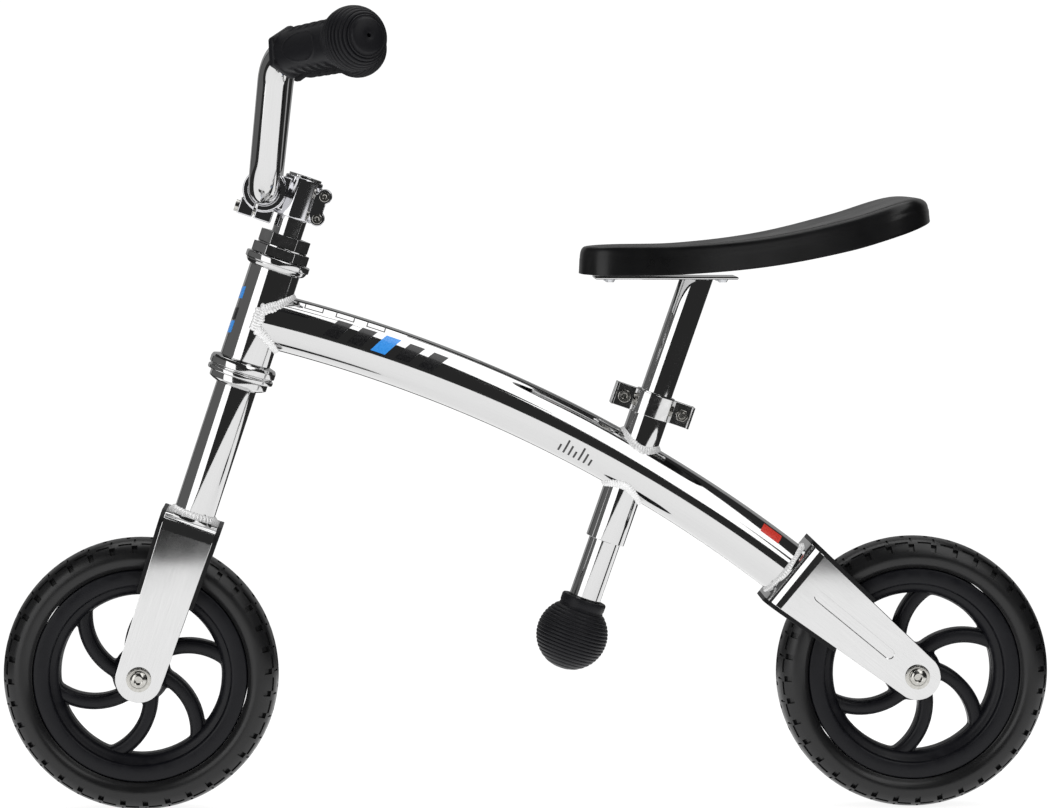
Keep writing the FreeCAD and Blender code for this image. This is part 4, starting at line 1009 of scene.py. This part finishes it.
# --------------------------------------
# Parts that hardly show: bearings, loose balls, spacers, the quill's bolt and wedge and the seat
# screws. They keep their drawn shape and take plain ground or zinc plated steel.
ground_steel = mottled("ground_bearing_steel", 0.8, (0.16, 0.34), (0.50, 0.50, 0.51), (0.64, 0.64, 0.65),
                       0.02, 0.3, from_object=True, detail=4.0, Metallic=1.0)
zinc = mottled("zinc_plated_steel", 0.6, (0.22, 0.42), (0.55, 0.56, 0.58), (0.70, 0.71, 0.73), 0.02, 0.3,
               from_object=True, detail=4.0, Metallic=1.0)
for finish, kept in ((ground_steel, ("front_bearings", "rear_bearings", "lower_headset_balls",
                                     "upper_headset_balls")),
                     (zinc, ("front_axle_spacers", "rear_axle_spacers", "quill_wedge", "quill_bolt",
                             "seat_screws"))):
    for node in kept:
        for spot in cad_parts[node].material_slots:
            spot.material = finish


# --------------------------------------
# Studio. A pale floor, a white background and soft light from large panels: one overhead, a tall
# one to the left of the camera and a wide, dimmer one to its right.
scene = bpy.context.scene
scene.view_settings.view_transform = "Standard"

floor_paint = new_finish("pale_studio_floor", Roughness=0.8, Specular_IOR_Level=0.0, Emission_Strength=0.88,
                         Base_Color=(0.28, 0.28, 0.28, 1), Emission_Color=(1, 1, 1, 1))
bm = bmesh.new()
bmesh.ops.create_circle(bm, cap_ends=True, segments=96, radius=1.0,
                        matrix=Matrix.Translation((-0.1, -0.5, 0)) @ Matrix.Diagonal((1.15, 1.05, 1, 1)))
mesh = bpy.data.meshes.new("studio_floor")
bm.to_mesh(mesh)
bm.free()
mesh.materials.append(floor_paint)
floor = bpy.data.objects.new("studio_floor", mesh)
scene.collection.objects.link(floor)

world = bpy.data.worlds.new("studio")
scene.world = world
world.use_nodes = True
nodes, links = world.node_tree.nodes, world.node_tree.links
background = nodes["Background"]
rays = nodes.new("ShaderNodeLightPath")
room = nodes.new("ShaderNodeMapRange")
links.new(rays.outputs["Is Glossy Ray"], room.inputs["Value"])
room.inputs["To Min"].default_value = 0.45
room.inputs["To Max"].default_value = 0.03
seen = nodes.new("ShaderNodeMix")
links.new(rays.outputs["Is Camera Ray"], seen.inputs[0])
links.new(room.outputs["Result"], seen.inputs[2])
seen.inputs[3].default_value = 1.05
links.new(seen.outputs[0], background.inputs["Strength"])
background.inputs["Color"].default_value = (1, 1, 1, 1)


def panel(name, centre, aim, width, height, glow, turn=0.0):
    """A flat soft light; its glow is how bright it looks in a mirror."""
    light = bpy.data.lights.new(name, "AREA")
    light.shape = "RECTANGLE"
    light.size, light.size_y = width, height
    light.energy = glow * width * height * pi
    lamp = bpy.data.objects.new(name, light)
    lamp.matrix_world = (Matrix.Translation(centre)
                         @ (Vector(aim) - Vector(centre)).to_track_quat("-Z", "Y").to_matrix().to_4x4()
                         @ Matrix.Rotation(radians(turn), 4, "Z"))
    lamp.visible_camera = False
    scene.collection.objects.link(lamp)


panel("overhead_panel", (0.0, 0.55, 2.0), (0.0, 0.55, 0.0), 1.9, 1.6, 1.7)
panel("front_right_panel", (1.40, -1.25, 2.0), (1.40, -1.25, 0.0), 2.6, 1.5, 1.7, turn=-63.0)
panel("low_right_panel", (1.40, -2.4, 1.5), (0.2, 0.0, 0.3), 0.9, 0.95, 1.7)
panel("left_panel", (-1.35, -1.70, 0.8), (0.0, -1.70, 0.8), 2.0, 1.8, 1.7)
panel("far_left_panel", (-2.3, 0.2, 0.9), (0.0, 0.2, 0.5), 3.4, 2.0, 0.11)
panel("back_panel", (0.0, 3.0, 1.2), (0.0, 0.0, 0.6), 6.0, 2.6, 0.30)

pan, tilt, roll = radians(2.290), radians(4.512), radians(0.158)
ahead = Vector((sin(pan) * cos(tilt), cos(pan) * cos(tilt), -sin(tilt)))
level = Vector((cos(pan), -sin(pan), 0))
above = level.cross(ahead)
across = level * cos(roll) + above * sin(roll)
upward = above * cos(roll) - level * sin(roll)
camera = bpy.data.objects.new("camera", bpy.data.cameras.new("camera"))
camera.matrix_world = axes_at((-0.1044, -2.5856, 0.5012), across, upward, -ahead)
camera.data.sensor_width = 36.0
camera.data.lens = 121.4855
scene.collection.objects.link(camera)
scene.camera = camera
